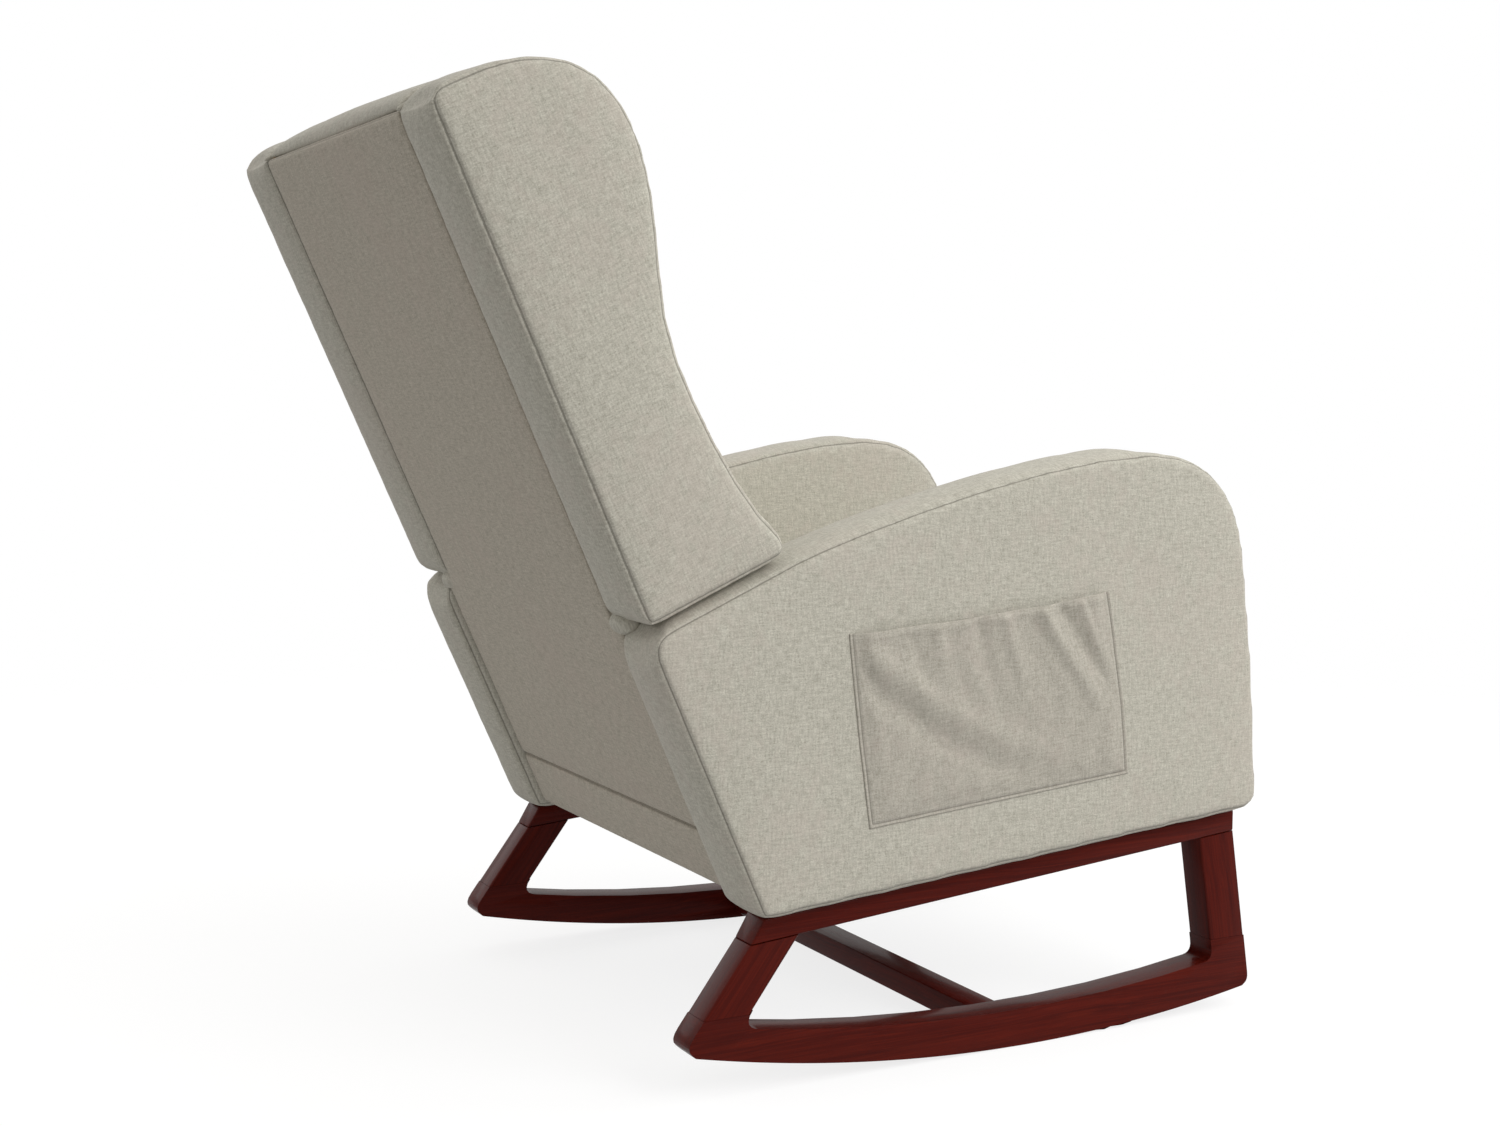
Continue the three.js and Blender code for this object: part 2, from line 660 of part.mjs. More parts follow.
function wingPanelCorners() {
  const pad = WING_PADDING;
  const head = WING_HEAD_DEPTH - pad;
  const waist = WING_WAIST_DEPTH - pad;
  return [
    { y: -pad, z: pad },
    { y: -pad, z: WING_HEIGHT - pad },
    { y: -85, z: WING_HEIGHT - pad - 3 },
    { y: -head, z: WING_HEIGHT * 0.87, r: 25 },
    { y: -head, z: WING_HEIGHT * 0.76 },
    { y: -waist, z: WING_HEIGHT * 0.46 },
    { y: -waist, z: WING_HEIGHT * 0.25 },
    { y: pad - WING_TOE_DEPTH, z: pad + 8 },
  ];
}

// Plywood with a cleat on its inner side that reaches the back post.
function wingFrame(sign, room = 0) {
  const inner = WING_INNER + WING_CLEAT_DEPTH;
  const corners = inset(wingPanelCorners(), -room);
  const mouth = room > 0 ? CROWN : -GAP;
  const rear = POST_REAR - 10;
  const cleat = sideBox(
    WING_INNER - mouth,
    inner + PLYWOOD / 2,
    sign,
    [rear - WING_CLEAT_DEPTH - room, WING_HEIGHT * 0.1 - room],
    [rear + room, WING_HEIGHT * 0.85 + room],
  );
  return join(sidePlate(corners, inner - room, inner + PLYWOOD + room, sign), cleat);
}

function addWing({ name, sign }) {
  const pad = sidePlate(wingCorners(), WING_INNER, WING_OUTER, sign, CROWN);
  add(back, `${name}_wing_frame`, wingFrame(sign), RAW_WOOD);
  add(back, `${name}_wing_pad`, cut(pad, wingFrame(sign, GAP)), LINEN);
}

// The lower back panel's bottom edge, down the recline from the wings' rear lower corner.
function backHem() {
  const rear = lineMoved({ y: -1 - BACK_PANEL_THICKNESS, z: 0 }, UP, back, seat);
  const hem = crossing(rear, { y: 0, z: HEM_LIFT, run: new THREE.Vector2(1, 0) });
  return pointMoved(hem, seat, back).z;
}

// The back's outer panels as [x, height] outlines: wider between the arms than between the wings.
function backPanel(points) {
  const shape = new THREE.Shape(points.map(([x, z]) => new THREE.Vector2(x, z)));
  const geometry = new THREE.ExtrudeGeometry(shape, {
    depth: BACK_PANEL_THICKNESS,
    bevelEnabled: false,
  });
  return geometry.rotateX(Math.PI / 2).translate(0, -1, 0);
}

function addBackPanels() {
  const wide = ARM_INNER - GAP;
  const narrow = WING_INNER - GAP;
  const shoulder = -CROWN - GAP;
  const right = [
    [wide, BACK_SEAM + GAP],
    [wide, shoulder],
    [narrow, shoulder],
    [narrow, BACK_TOP],
  ];
  const left = right.map(([x, z]) => [-x, z]).reverse();
  add(back, "outside_back_panel", backPanel([...right, ...left]), LINEN);
  const hem = [
    [-wide, backHem()],
    [wide, backHem()],
    [wide, BACK_SEAM],
    [-wide, BACK_SEAM],
  ];
  add(back, "lower_back_panel", backPanel(hem), LINEN);
}

function addBackFrame() {
  for (const { name, sign } of SIDES) {
    const post = sideBox(
      POST_INNER,
      POST_OUTER,
      sign,
      [POST_FRONT, POST_FOOT],
      [POST_REAR, BACK_TOP],
    );
    add(back, `${name}_back_post`, post, RAW_WOOD);
  }
  const end = POST_INNER - GAP;
  const places = [
    { name: "back_top_rail", top: BACK_TOP },
    { name: "back_bottom_rail", top: POST_FOOT + BACK_RAIL_HEIGHT },
  ];
  for (const { name, top } of places) {
    const rail = box([-end, POST_FRONT, top - BACK_RAIL_HEIGHT], [end, POST_REAR, top]);
    add(back, name, rail, RAW_WOOD);
  }
  STRAP_PLACES.forEach((share, i) => {
    const z = WING_HEIGHT * share;
    const strap = box(
      [-POST_OUTER, STRAP_FRONT, z - STRAP_WIDTH / 2],
      [POST_OUTER, STRAP_FRONT + STRAP_THICKNESS, z + STRAP_WIDTH / 2],
    );
    add(back, `back_strap_${i + 1}`, strap, LINING);
  });
}

// The inside pad covers the frame's front and folds over its top to the back's top seam.
function insidePadCorners() {
  const rear = STRAP_FRONT - GAP;
  const seam = BACK_TOP + GAP;
  const brow = { y: -PAD_DEPTH, z: BACK_TOP - 30 };
  const lumbar = { y: -PAD_DEPTH - LUMBAR_SWELL, z: LUMBAR_HEIGHT };
  const span = brow.z - lumbar.z;
  return [
    { y: rear, z: PAD_FOOT },
    { y: rear, z: seam },
    { y: -1, z: seam },
    { y: -8, z: seam + TOP_CROWN * 0.7 },
    { y: -30, z: seam + TOP_CROWN },
    { y: brow.y + 38, z: seam + TOP_CROWN * 0.8 },
    { y: brow.y + 12, z: seam },
    brow,
    ...curve(
      brow,
      { y: brow.y, z: brow.z - span * 0.53 },
      { y: brow.y - 5, z: lumbar.z + span * 0.25 },
      lumbar,
      8,
    ),
    { y: lumbar.y + 6, z: PAD_FOOT, r: 20 },
  ];
}

// Below the wings the pad is as wide as the space between the arms.
function addInsidePad() {
  const narrow = WING_INNER - GAP;
  const wide = ARM_INNER - GAP;
  const pad = sidePlate(insidePadCorners(), -narrow, narrow, 1);
  const full = sidePlate(insidePadCorners(), -wide, wide, 1);
  const shoulder = -CROWN - GAP;
  const above = box([-2 * wide, -WING_HEIGHT, shoulder], [2 * wide, WING_HEIGHT, 2 * WING_HEIGHT]);
  add(back, "inside_back_pad", join(pad, cut(full, above)), LINEN);
}

// The seat frame stops against the feet of the back posts.
function seatFrameRear() {
  return pointMoved({ y: POST_FRONT, z: POST_FOOT }, back, seat).y - GAP;
}

function addSeatFrame() {
  const rear = seatFrameRear();
  const wide = SEAT_SIDE_OUTER;
  const inside = SEAT_FRAME_FRONT + SEAT_RAIL_WIDTH;
  const outside = rear - SEAT_RAIL_WIDTH;
  const rail = (from, to, inner, outer, sign) =>
    sideBox(inner, outer, sign, [from, SEAT_RAIL_LIFT], [to, SEAT_RAIL_TOP]);
  add(seat, "seat_front_rail", rail(SEAT_FRAME_FRONT, inside, -wide, wide, 1), RAW_WOOD);
  add(seat, "seat_rear_rail", rail(outside, rear, -wide, wide, 1), RAW_WOOD);
  for (const { name, sign } of SIDES) {
    const side = rail(inside + GAP, outside - GAP, SEAT_SIDE_INNER, wide, sign);
    add(seat, `${name}_seat_side_rail`, cut(side, ...screwHoles(sign)), RAW_WOOD);
    SCREW_PLACES.forEach((y, i) => {
      const screw = fastener(seatScrew(y, sign), SCREW);
      add(seat, `${name}_${LEGS[i].name}_seat_screw`, screw, STEEL);
    });
  }
}

// A spring's wire, a flat zigzag from the front rail to the rear rail.
class Zigzag extends THREE.Curve {
  constructor(x, front, rear) {
    super();
    this.x = x;
    this.front = front;
    this.rear = rear;
  }

  getPoint(t) {
    const sway = SPRING_WAVE * Math.sin(2 * Math.PI * SPRING_TURNS * t);
    return new THREE.Vector3(this.x + sway, THREE.MathUtils.lerp(this.front, this.rear, t), SPRING_LIFT);
  }
}

function addSprings() {
  const wire = new THREE.Shape();
  wire.absarc(0, 0, SPRING_WIRE_RADIUS, 0, 2 * Math.PI);
  const front = SEAT_FRAME_FRONT + SEAT_RAIL_WIDTH / 2;
  const rear = seatFrameRear() - SEAT_RAIL_WIDTH / 2;
  const spacing = (2 * SEAT_SIDE_INNER) / SPRING_COUNT;
  for (let i = 0; i < SPRING_COUNT; i += 1) {
    const x = (i + 0.5) * spacing - SEAT_SIDE_INNER;
    const spring = new THREE.ExtrudeGeometry(wire, {
      steps: 8 * SPRING_TURNS,
      curveSegments: 3,
      extrudePath: new Zigzag(x, front, rear),
    });
    add(seat, `seat_spring_${i + 1}`, spring, STEEL);
  }
}

// The cushion's rear leans with the back.
function cushionCorners() {
  const face = -PAD_DEPTH - LUMBAR_SWELL - CUSHION_GAP;
  const rear = lineMoved({ y: face, z: 0 }, UP, back, seat);
  const top = { y: 0, z: CUSHION_TOP, run: new THREE.Vector2(1, 0) };
  const bottom = { y: 0, z: CUSHION_BOTTOM, run: new THREE.Vector2(1, 0) };
  return [
    { y: CUSHION_FRONT, z: CUSHION_BOTTOM, r: CUSHION_RADIUS },
    { ...crossing(bottom, rear), r: CUSHION_RADIUS / 2 },
    { ...crossing(top, rear), r: CUSHION_RADIUS },
    { y: CUSHION_FRONT, z: CUSHION_TOP, r: CUSHION_RADIUS },
  ];
}

function addSeat() {
  const half = ARM_INNER - CUSHION_GAP;
  add(seat, "seat_cushion", sidePlate(cushionCorners(), -half, half, 1), LINEN);
  const wide = ARM_INNER - GAP;
  const face = SEAT_FRAME_FRONT - GAP;
  const border = box(
    [-wide, face - BORDER_THICKNESS, SEAT_RAIL_LIFT / 2],
    [wide, face, CUSHION_BOTTOM - GAP],
  );
  add(seat, "front_border", border, LINEN);
  const below = SEAT_RAIL_LIFT - GAP;
  const hem = pointMoved({ y: -1 - BACK_PANEL_THICKNESS, z: backHem() }, back, seat);
  const cover = box(
    [-wide, SEAT_FRAME_FRONT, below - DUST_COVER_THICKNESS],
    [wide, hem.y - GAP, below],
  );
  add(seat, "dust_cover", cover, LINING);
}

// A pocket is sewn to the arm along its front, rear and bottom, and is open at the top.
function addPocket({ name, sign }) {
  const inner = ARM_OUTER + GAP;
  const room = inner + POCKET_ROOM;
  const body = sideBox(
    inner,
    room + POCKET_CLOTH,
    sign,
    [POCKET_FRONT, POCKET_BOTTOM],
    [POCKET_REAR, POCKET_TOP],
  );
  const space = sideBox(
    ARM_OUTER,
    room,
    sign,
    [POCKET_FRONT + POCKET_HEM, POCKET_BOTTOM + POCKET_HEM],
    [POCKET_REAR - POCKET_HEM, POCKET_TOP + POCKET_HEM],
  );
  add(seat, `${name}_side_pocket`, cut(body, space), LINEN);
}

SIDES.forEach(addRockerFrame);
addStretcher();
SIDES.forEach(addArm);
SIDES.forEach(addWing);
addBackPanels();
addBackFrame();
addInsidePad();
addSeatFrame();
addSprings();
addSeat();
SIDES.forEach(addPocket);

chair.updateMatrixWorld(true);
const extent = new THREE.Box3().setFromObject(chair);
chair.position.y = -(extent.min.y + extent.max.y) / 2;

export default chair;
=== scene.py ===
"""A wingback rocking chair: linen pads on a cherry rocker frame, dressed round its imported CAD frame."""

import math

import bmesh
import bpy
import numpy as np
from mathutils import Matrix, Vector, noise
from mathutils.bvhtree import BVHTree


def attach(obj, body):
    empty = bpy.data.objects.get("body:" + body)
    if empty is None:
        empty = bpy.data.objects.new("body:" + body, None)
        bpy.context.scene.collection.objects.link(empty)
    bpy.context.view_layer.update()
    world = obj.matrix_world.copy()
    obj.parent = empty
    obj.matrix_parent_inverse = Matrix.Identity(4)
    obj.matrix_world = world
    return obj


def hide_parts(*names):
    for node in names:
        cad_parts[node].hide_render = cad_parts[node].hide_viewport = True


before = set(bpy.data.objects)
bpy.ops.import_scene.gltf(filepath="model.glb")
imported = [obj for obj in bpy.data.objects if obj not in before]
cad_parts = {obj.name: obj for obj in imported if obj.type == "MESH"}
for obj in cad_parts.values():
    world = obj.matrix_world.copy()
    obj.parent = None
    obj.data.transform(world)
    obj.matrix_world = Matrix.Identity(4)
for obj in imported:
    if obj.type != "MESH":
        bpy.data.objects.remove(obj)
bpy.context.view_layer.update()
scene = bpy.context.scene

RECLINE_DEGREES = 23.64
RECLINE = math.radians(RECLINE_DEGREES)
SEAT_TILT = math.radians(4.9)
ROCKER_RADIUS = 1.818  # metres, of the circle that the runners' undersides follow
ACROSS = Vector((1, 0, 0))
REARWARD = Vector((0, 1, 0))
UPWARD = Vector((0, 0, 1))
BACK_OUT = Vector((0, math.cos(RECLINE), -math.sin(RECLINE)))
BACK_UP = Vector((0, math.sin(RECLINE), math.cos(RECLINE)))
SEAT_REAR = Vector((0, math.cos(SEAT_TILT), -math.sin(SEAT_TILT)))
SEAT_UP = Vector((0, math.sin(SEAT_TILT), math.cos(SEAT_TILT)))
MM = 0.001
FULLNESS = 0.5  # below 1, a pad swells quickly beside its seams and then stays nearly level
SEWN_REACH = 0.0036  # how near a seam the cloth is held while air fills a pad
CLOTH_FRAMES = 20
PRESSURE = 4
GROOVE = 0.0011  # how far a stuffed pad's seams are pulled in
FLAT_GROOVE = 0.0003  # and a thin panel's
GROOVE_WIDTH = 0.0024
PUCKER = 0.00016
PUCKER_PITCH = 0.019  # metres along a seam from one pucker to the next
RUNNER_TOP = 0.06  # a runner's underside lies lower than this, its legs' joints higher
CUT_PITCH = 0.012  # metres between the cuts that round a runner's underside


# ---------------------------------------------------------------- shader groups and materials


class Nodes:
    """Makes and wires the nodes of one material or node group."""

    def __init__(self, tree):
        self.tree = tree

    def add(self, kind, **values):
        node = self.tree.nodes.new("ShaderNode" + kind)
        for name, value in values.items():
            setattr(node, name, value)
        return node

    def put(self, value, socket):
        if hasattr(value, "is_output"):
            self.tree.links.new(value, socket)
        else:
            socket.default_value = value

    def math(self, operation, a, b=0.0, clamp=False):
        node = self.add("Math", operation=operation, use_clamp=clamp)
        self.put(a, node.inputs[0])
        self.put(b, node.inputs[1])
        return node.outputs[0]

    def mix(self, share, a, b):
        node = self.add("Mix", data_type="RGBA")
        self.put(share, node.inputs["Factor"])
        self.put(a, node.inputs[6])
        self.put(b, node.inputs[7])
        return node.outputs[2]

    def mapping(self, vector, scale=(1, 1, 1), turn=(0, 0, 0)):
        node = self.add("Mapping")
        self.put(vector, node.inputs["Vector"])
        node.inputs["Scale"].default_value = scale
        node.inputs["Rotation"].default_value = turn
        return node.outputs[0]

    def noise(self, vector, scale=1.0, detail=2.0, roughness=0.5):
        node = self.add("TexNoise")
        self.put(vector, node.inputs["Vector"])
        self.put(scale, node.inputs["Scale"])
        node.inputs["Detail"].default_value = detail
        node.inputs["Roughness"].default_value = roughness
        return node.outputs["Fac"]

    def span(self, value, low, high, to_low=0.0, to_high=1.0, smooth=False):
        node = self.add("MapRange", interpolation_type="SMOOTHSTEP" if smooth else "LINEAR")
        for index, item in enumerate((value, low, high, to_low, to_high)):
            self.put(item, node.inputs[index])
        return node.outputs[0]


def shader_group(name, inputs, outputs):
    tree = bpy.data.node_groups.new(name, "ShaderNodeTree")
    for label, kind in inputs:
        tree.interface.new_socket(label, in_out="INPUT", socket_type="NodeSocket" + kind)
    for label, kind in outputs:
        tree.interface.new_socket(label, in_out="OUTPUT", socket_type="NodeSocket" + kind)
    nodes = Nodes(tree)
    return tree, nodes, nodes.tree.nodes.new("NodeGroupInput"), nodes.tree.nodes.new("NodeGroupOutput")


def weave_group():
    """Slubby plain weave: short thick threads both ways on a fine grid, and a slow drift of tint."""
    tree, nodes, given, made = shader_group(
        "Slub weave",
        [("Cloth", "Vector"), ("Place", "Vector"), ("Pale", "Color"), ("Dark", "Color"), ("Pink", "Color")],
        [("Color", "Color"), ("Height", "Float")],
    )
    cloth = given.outputs["Cloth"]
    fine = nodes.noise(nodes.mapping(cloth, (520, 760, 1)), 1.0, 2.0, 0.7)
    warp = nodes.noise(nodes.mapping(cloth, (80, 400, 1)), 1.0, 3.0, 0.65)
    weft = nodes.noise(nodes.mapping(cloth, (400, 80, 1)), 1.0, 3.0, 0.65)
    slubs = nodes.math("ADD", nodes.span(warp, 0.38, 0.62), nodes.span(weft, 0.38, 0.62))
    threads = nodes.math("ADD", nodes.math("MULTIPLY", slubs, 0.25), nodes.span(fine, 0.3, 0.7, 0.0, 0.5))
    drift = nodes.noise(nodes.mapping(cloth, (60, 45, 1)), 1.0, 3.0, 0.65)
    broad = nodes.noise(given.outputs["Place"], 7.0, 2.0, 0.5)
    plain = nodes.mix(threads, given.outputs["Dark"], given.outputs["Pale"])
    tint = nodes.math("MULTIPLY", nodes.math("ADD", drift, broad), 0.5)
    lit = nodes.mix(nodes.span(tint, 0.46, 0.6, 0.0, 0.26), plain, given.outputs["Pink"])
    nodes.put(lit, made.inputs["Color"])
    nodes.put(threads, made.inputs["Height"])
    return tree


def seam_group():
    """A dark line of painted shade where the seam distance is zero, with the cloth pulled into it."""
    tree, nodes, given, made = shader_group(
        "Sewn seam",
        [("Distance", "Float"), ("Width", "Float")],
        [("Line", "Float"), ("Pull", "Float")],
    )
    away = nodes.math("ABSOLUTE", given.outputs["Distance"])
    half = nodes.math("MULTIPLY", given.outputs["Width"], 0.5)
    wide = nodes.math("MULTIPLY", given.outputs["Width"], 3.0)
    nodes.put(nodes.span(away, half, given.outputs["Width"], 1.0, 0.0, smooth=True), made.inputs["Line"])
    nodes.put(nodes.span(away, 0.0, wide, 1.0, 0.0, smooth=True), made.inputs["Pull"])
    return tree


def grain_group():
    """Straight wood grain: long streaks, darker growth bands and fine pores along the first axis."""
    tree, nodes, given, made = shader_group(
        "Wood grain",
        [("Along", "Vector"), ("Deep", "Color"), ("Body", "Color"), ("Warm", "Color")],
        [("Color", "Color"), ("Roughness", "Float"), ("Height", "Float")],
    )
    along = given.outputs["Along"]
    sway = nodes.noise(nodes.mapping(along, (2.2, 6, 6)), 1.0, 2.0, 0.5)
    bent = nodes.add("VectorMath", operation="ADD")
    nodes.put(along, bent.inputs[0])
    lean = nodes.add("CombineXYZ")
    nodes.put(nodes.math("MULTIPLY", sway, 0.03), lean.inputs[1])
    nodes.put(nodes.math("MULTIPLY", sway, 0.03), lean.inputs[2])
    nodes.put(lean.outputs[0], bent.inputs[1])
    bands = nodes.noise(nodes.mapping(bent.outputs[0], (3, 120, 120)), 1.0, 3.0, 0.6)
    streaks = nodes.noise(nodes.mapping(bent.outputs[0], (9, 620, 620)), 1.0, 2.0, 0.6)
    pores = nodes.noise(nodes.mapping(along, (110, 1900, 1900)), 1.0, 1.0, 0.5)
    body = nodes.mix(nodes.span(bands, 0.32, 0.68), given.outputs["Deep"], given.outputs["Body"])
    warm = nodes.mix(nodes.span(streaks, 0.45, 0.75, 0.0, 0.6), body, given.outputs["Warm"])
    open_pores = nodes.span(pores, 0.62, 0.72)
    stain = nodes.math("MULTIPLY", open_pores, 0.55)
    nodes.put(nodes.mix(stain, warm, given.outputs["Deep"]), made.inputs["Color"])
    rough = nodes.math("ADD", nodes.span(bands, 0.3, 0.7, 0.3, 0.4), nodes.math("MULTIPLY", open_pores, 0.15))
    nodes.put(rough, made.inputs["Roughness"])
    nodes.put(nodes.math("SUBTRACT", nodes.math("MULTIPLY", streaks, 0.4), open_pores), made.inputs["Height"])
    return tree


WEAVE = weave_group()
SEAM = seam_group()
GRAIN = grain_group()


def new_material(name):
    material = bpy.data.materials.new(name)
    material.use_nodes = True
    nodes = Nodes(material.node_tree)
    return material, nodes, material.node_tree.nodes["Principled BSDF"]


def use_group(nodes, tree, **values):
    node = nodes.add("Group", node_tree=tree)
    for label, value in values.items():
        nodes.put(value, node.inputs[label])
    return node


def bump(nodes, shader, height, distance, strength=1.0):
    node = nodes.add("Bump")
    node.inputs["Strength"].default_value = strength
    node.inputs["Distance"].default_value = distance
    nodes.put(height, node.inputs["Height"])
    nodes.put(node.outputs[0], shader.inputs["Normal"])


def linen(name, pale, dark, pink, seam_shade_width=0.0016, depth=0.55):
    """Linen that follows the piece's own cloth map, with painted shade along its seam from the piece's own
    distance.
    """
    material, nodes, shader = new_material(name)
    cloth = nodes.add("UVMap", uv_map="cloth")
    place = nodes.add("TexCoord")
    weave = use_group(
        nodes,
        WEAVE,
        Cloth=cloth.outputs[0],
        Place=place.outputs["Object"],
        Pale=pale,
        Dark=dark,
        Pink=pink,
    )
    distance = nodes.add("Attribute", attribute_name="seam")
    seam = use_group(nodes, SEAM, Distance=distance.outputs["Fac"], Width=seam_shade_width)
    # Painted shade: the seam line darkens the weave towards a deep tone of the dark colour, standing in for
    # the shade in the sewn groove.
    shadow = tuple(0.3 * part for part in dark[:3]) + (1,)
    line = nodes.math("MULTIPLY", seam.outputs["Line"], depth)
    nodes.put(nodes.mix(line, weave.outputs["Color"], shadow), shader.inputs["Base Color"])
    shader.inputs["Roughness"].default_value = 0.92
    shader.inputs["Specular IOR Level"].default_value = 0.25
    shader.inputs["Sheen Weight"].default_value = 0.12
    shader.inputs["Sheen Roughness"].default_value = 0.5
    dip = nodes.math("MULTIPLY", seam.outputs["Pull"], 3.0)
    height = nodes.math("SUBTRACT", weave.outputs["Height"], dip)
    bump(nodes, shader, height, 0.00025, 0.8)
    return material


def timber(name, axis_turn, deep, body, warm, coat=1.0, roughness_lift=0.0):
    """Stained or bare wood. Its thin coat has a low index, so it shines only at a low angle."""
    material, nodes, shader = new_material(name)
    place = nodes.add("TexCoord")
    along = nodes.mapping(place.outputs["Object"], (1, 1, 1), axis_turn)
    grain = use_group(nodes, GRAIN, Along=along, Deep=deep, Body=body, Warm=warm)
    nodes.put(grain.outputs["Color"], shader.inputs["Base Color"])
    rough = nodes.math("ADD", grain.outputs["Roughness"], roughness_lift, clamp=True)
    nodes.put(rough, shader.inputs["Roughness"])
    shader.inputs["Specular IOR Level"].default_value = 0.08
    shader.inputs["Coat Weight"].default_value = coat
    shader.inputs["Coat IOR"].default_value = 1.12
    shader.inputs["Coat Roughness"].default_value = 0.14
    bump(nodes, shader, grain.outputs["Height"], 0.0001, 0.5)
    return material


def lin(red, green, blue):
    """A colour given as it shows on a screen, 0 to 255, as the linear values that a shader takes."""
    parts = [part / 255 for part in (red, green, blue)]
    return tuple(p / 12.92 if p < 0.04045 else ((p + 0.055) / 1.055) ** 2.4 for p in parts) + (1,)


LINEN = linen("linen", lin(211, 208, 195), lin(150, 146, 133), lin(192, 179, 169))
# Painted shade: the back panels get a darker, warmer copy of the linen for their shaded rear faces, with a
# finer, fainter seam line.
LINEN_FLAT_SHADED = linen("linen_back_shaded", lin(205, 197, 182), lin(142, 135, 120), lin(184, 169, 157), 0.0010, 0.35)
# Painted shade: the pockets get a darker copy of the linen, toning down the extra light on their bulge, with
# a finer seam line.
LINEN_POCKET_SHADED = linen("linen_pocket_shaded", lin(199, 194, 182), lin(145, 140, 128), lin(180, 167, 158), 0.0010, 0.45)
CHERRY = (lin(64, 12, 7), lin(84, 19, 9), lin(99, 27, 13))
BARE = (lin(150, 112, 68), lin(186, 148, 98), lin(206, 172, 124))
ALONG_Y = (0, 0, math.radians(-90))
ALONG_X = (0, 0, 0)


def leaning(degrees):
    """Turns the grain to run up a piece that leans back by this angle from upright."""
    return (math.radians(90 + degrees), 0, math.radians(-90))


def fabric_tape(name, colour, pitch):
    material, nodes, shader = new_material(name)
    place = nodes.add("TexCoord")
    fine = nodes.noise(nodes.mapping(place.outputs["Object"], (pitch, pitch, pitch)), 1.0, 2.0)
    ribs = nodes.noise(nodes.mapping(place.outputs["Object"], (40, 1200, 1200)), 1.0, 2.0)
    level = nodes.math("MULTIPLY", nodes.math("ADD", fine, ribs), 0.5)
    pale = tuple(min(1, 1.7 * part) for part in colour[:3]) + (1,)
    nodes.put(nodes.mix(nodes.span(level, 0.35, 0.65), colour, pale), shader.inputs["Base Color"])
    shader.inputs["Roughness"].default_value = 0.9
    bump(nodes, shader, level, 0.0003)
    return material


def bright_steel(name):
    material, nodes, shader = new_material(name)
    place = nodes.add("TexCoord")
    drawn = nodes.noise(nodes.mapping(place.outputs["Object"], (900, 60, 900)), 1.0, 2.0)
    tarnish = nodes.noise(place.outputs["Object"], 40.0, 3.0)
    nodes.put(nodes.mix(tarnish, lin(120, 120, 118), lin(176, 176, 172)), shader.inputs["Base Color"])
    nodes.put(nodes.span(drawn, 0.3, 0.7, 0.25, 0.45), shader.inputs["Roughness"])
    shader.inputs["Metallic"].default_value = 1.0
    bump(nodes, shader, drawn, 0.00005)
    return material


BARE_WOOD_X = timber("bare_wood_across", ALONG_X, *BARE, coat=0.0, roughness_lift=0.3)
BARE_WOOD_Y = timber("bare_wood_along", ALONG_Y, *BARE, coat=0.0, roughness_lift=0.3)
BARE_WOOD_UP = timber("bare_wood_up", leaning(RECLINE_DEGREES), *BARE, coat=0.0, roughness_lift=0.3)
WEBBING = fabric_tape("webbing", lin(44, 42, 42), 500)
STEEL = bright_steel("steel")


# ---------------------------------------------------------------- mesh helpers


def object_from(bm, name):
    mesh = bpy.data.meshes.new(name)
    bm.to_mesh(mesh)
    bm.free()
    piece = bpy.data.objects.new(name, mesh)
    scene.collection.objects.link(piece)
    return piece


def merged_copy(node):
    bm = bmesh.new()
    bm.from_mesh(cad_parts[node].data)
    bmesh.ops.remove_doubles(bm, verts=bm.verts, dist=2e-5)
    bm.normal_update()
    return bm


def bake_modifiers(piece):
    """Replaces a piece's mesh by what its modifiers make of it."""
    graph = bpy.context.evaluated_depsgraph_get()
    fresh = bpy.data.meshes.new_from_object(piece.evaluated_get(graph))
    piece.modifiers.clear()
    old = piece.data
    piece.data = fresh
    fresh.name = piece.name
    bpy.data.meshes.remove(old)


def read_vectors(items, name):
    out = np.empty(len(items) * 3, np.float32)
    items.foreach_get(name, out)
    return out.reshape(-1, 3).astype(float)


def points_of(mesh):
    return read_vectors(mesh.vertices, "co")


def place_points(mesh, co):
    mesh.vertices.foreach_set("co", np.ascontiguousarray(co, np.float32).ravel())
    mesh.update()


def normals_of(mesh):
    return read_vectors(mesh.vertices, "normal")


def set_attribute(mesh, name, values, kind="FLOAT"):
    layer = mesh.attributes.new(name, kind, "POINT")
    slot = "vector" if kind == "FLOAT_VECTOR" else "value"
    layer.data.foreach_set(slot, np.ascontiguousarray(values, np.float32).ravel())


def attribute_of(mesh, name):
    return read_vectors(mesh.attributes[name].data, "vector")


def corner_points(mesh):
    """The number of the point at each corner of each face."""
    corners = np.empty(len(mesh.loops), np.int32)
    mesh.loops.foreach_get("vertex_index", corners)
    return corners


def write_cloth_map(mesh, uv):
    """Stores the map that the linen follows, in metres, with one pair for each face corner."""
    layer = mesh.uv_layers.get("cloth") or mesh.uv_layers.new(name="cloth")
    layer.data.foreach_set("uv", np.ascontiguousarray(uv, np.float32).ravel())


def nearest_on_outline(points, corners):
    """Each point's distance to a closed outline, how far along it that is, and the outline's length."""
    run = np.roll(corners, -1, 0) - corners
    length = np.linalg.norm(run, axis=1)
    begins = np.concatenate([[0], np.cumsum(length)[:-1]])
    best = np.full(len(points), np.inf)
    along = np.zeros(len(points))
    for i in range(len(corners)):
        t = np.clip((points - corners[i]) @ run[i] / length[i] ** 2, 0, 1)
        d = np.linalg.norm(points - corners[i] - t[:, None] * run[i], axis=1)
        nearer = d < best
        best[nearer] = d[nearer]
        along[nearer] = begins[i] + t[nearer] * length[i]
    return best, along, float(length.sum())


# ---------------------------------------------------------------- padded pieces


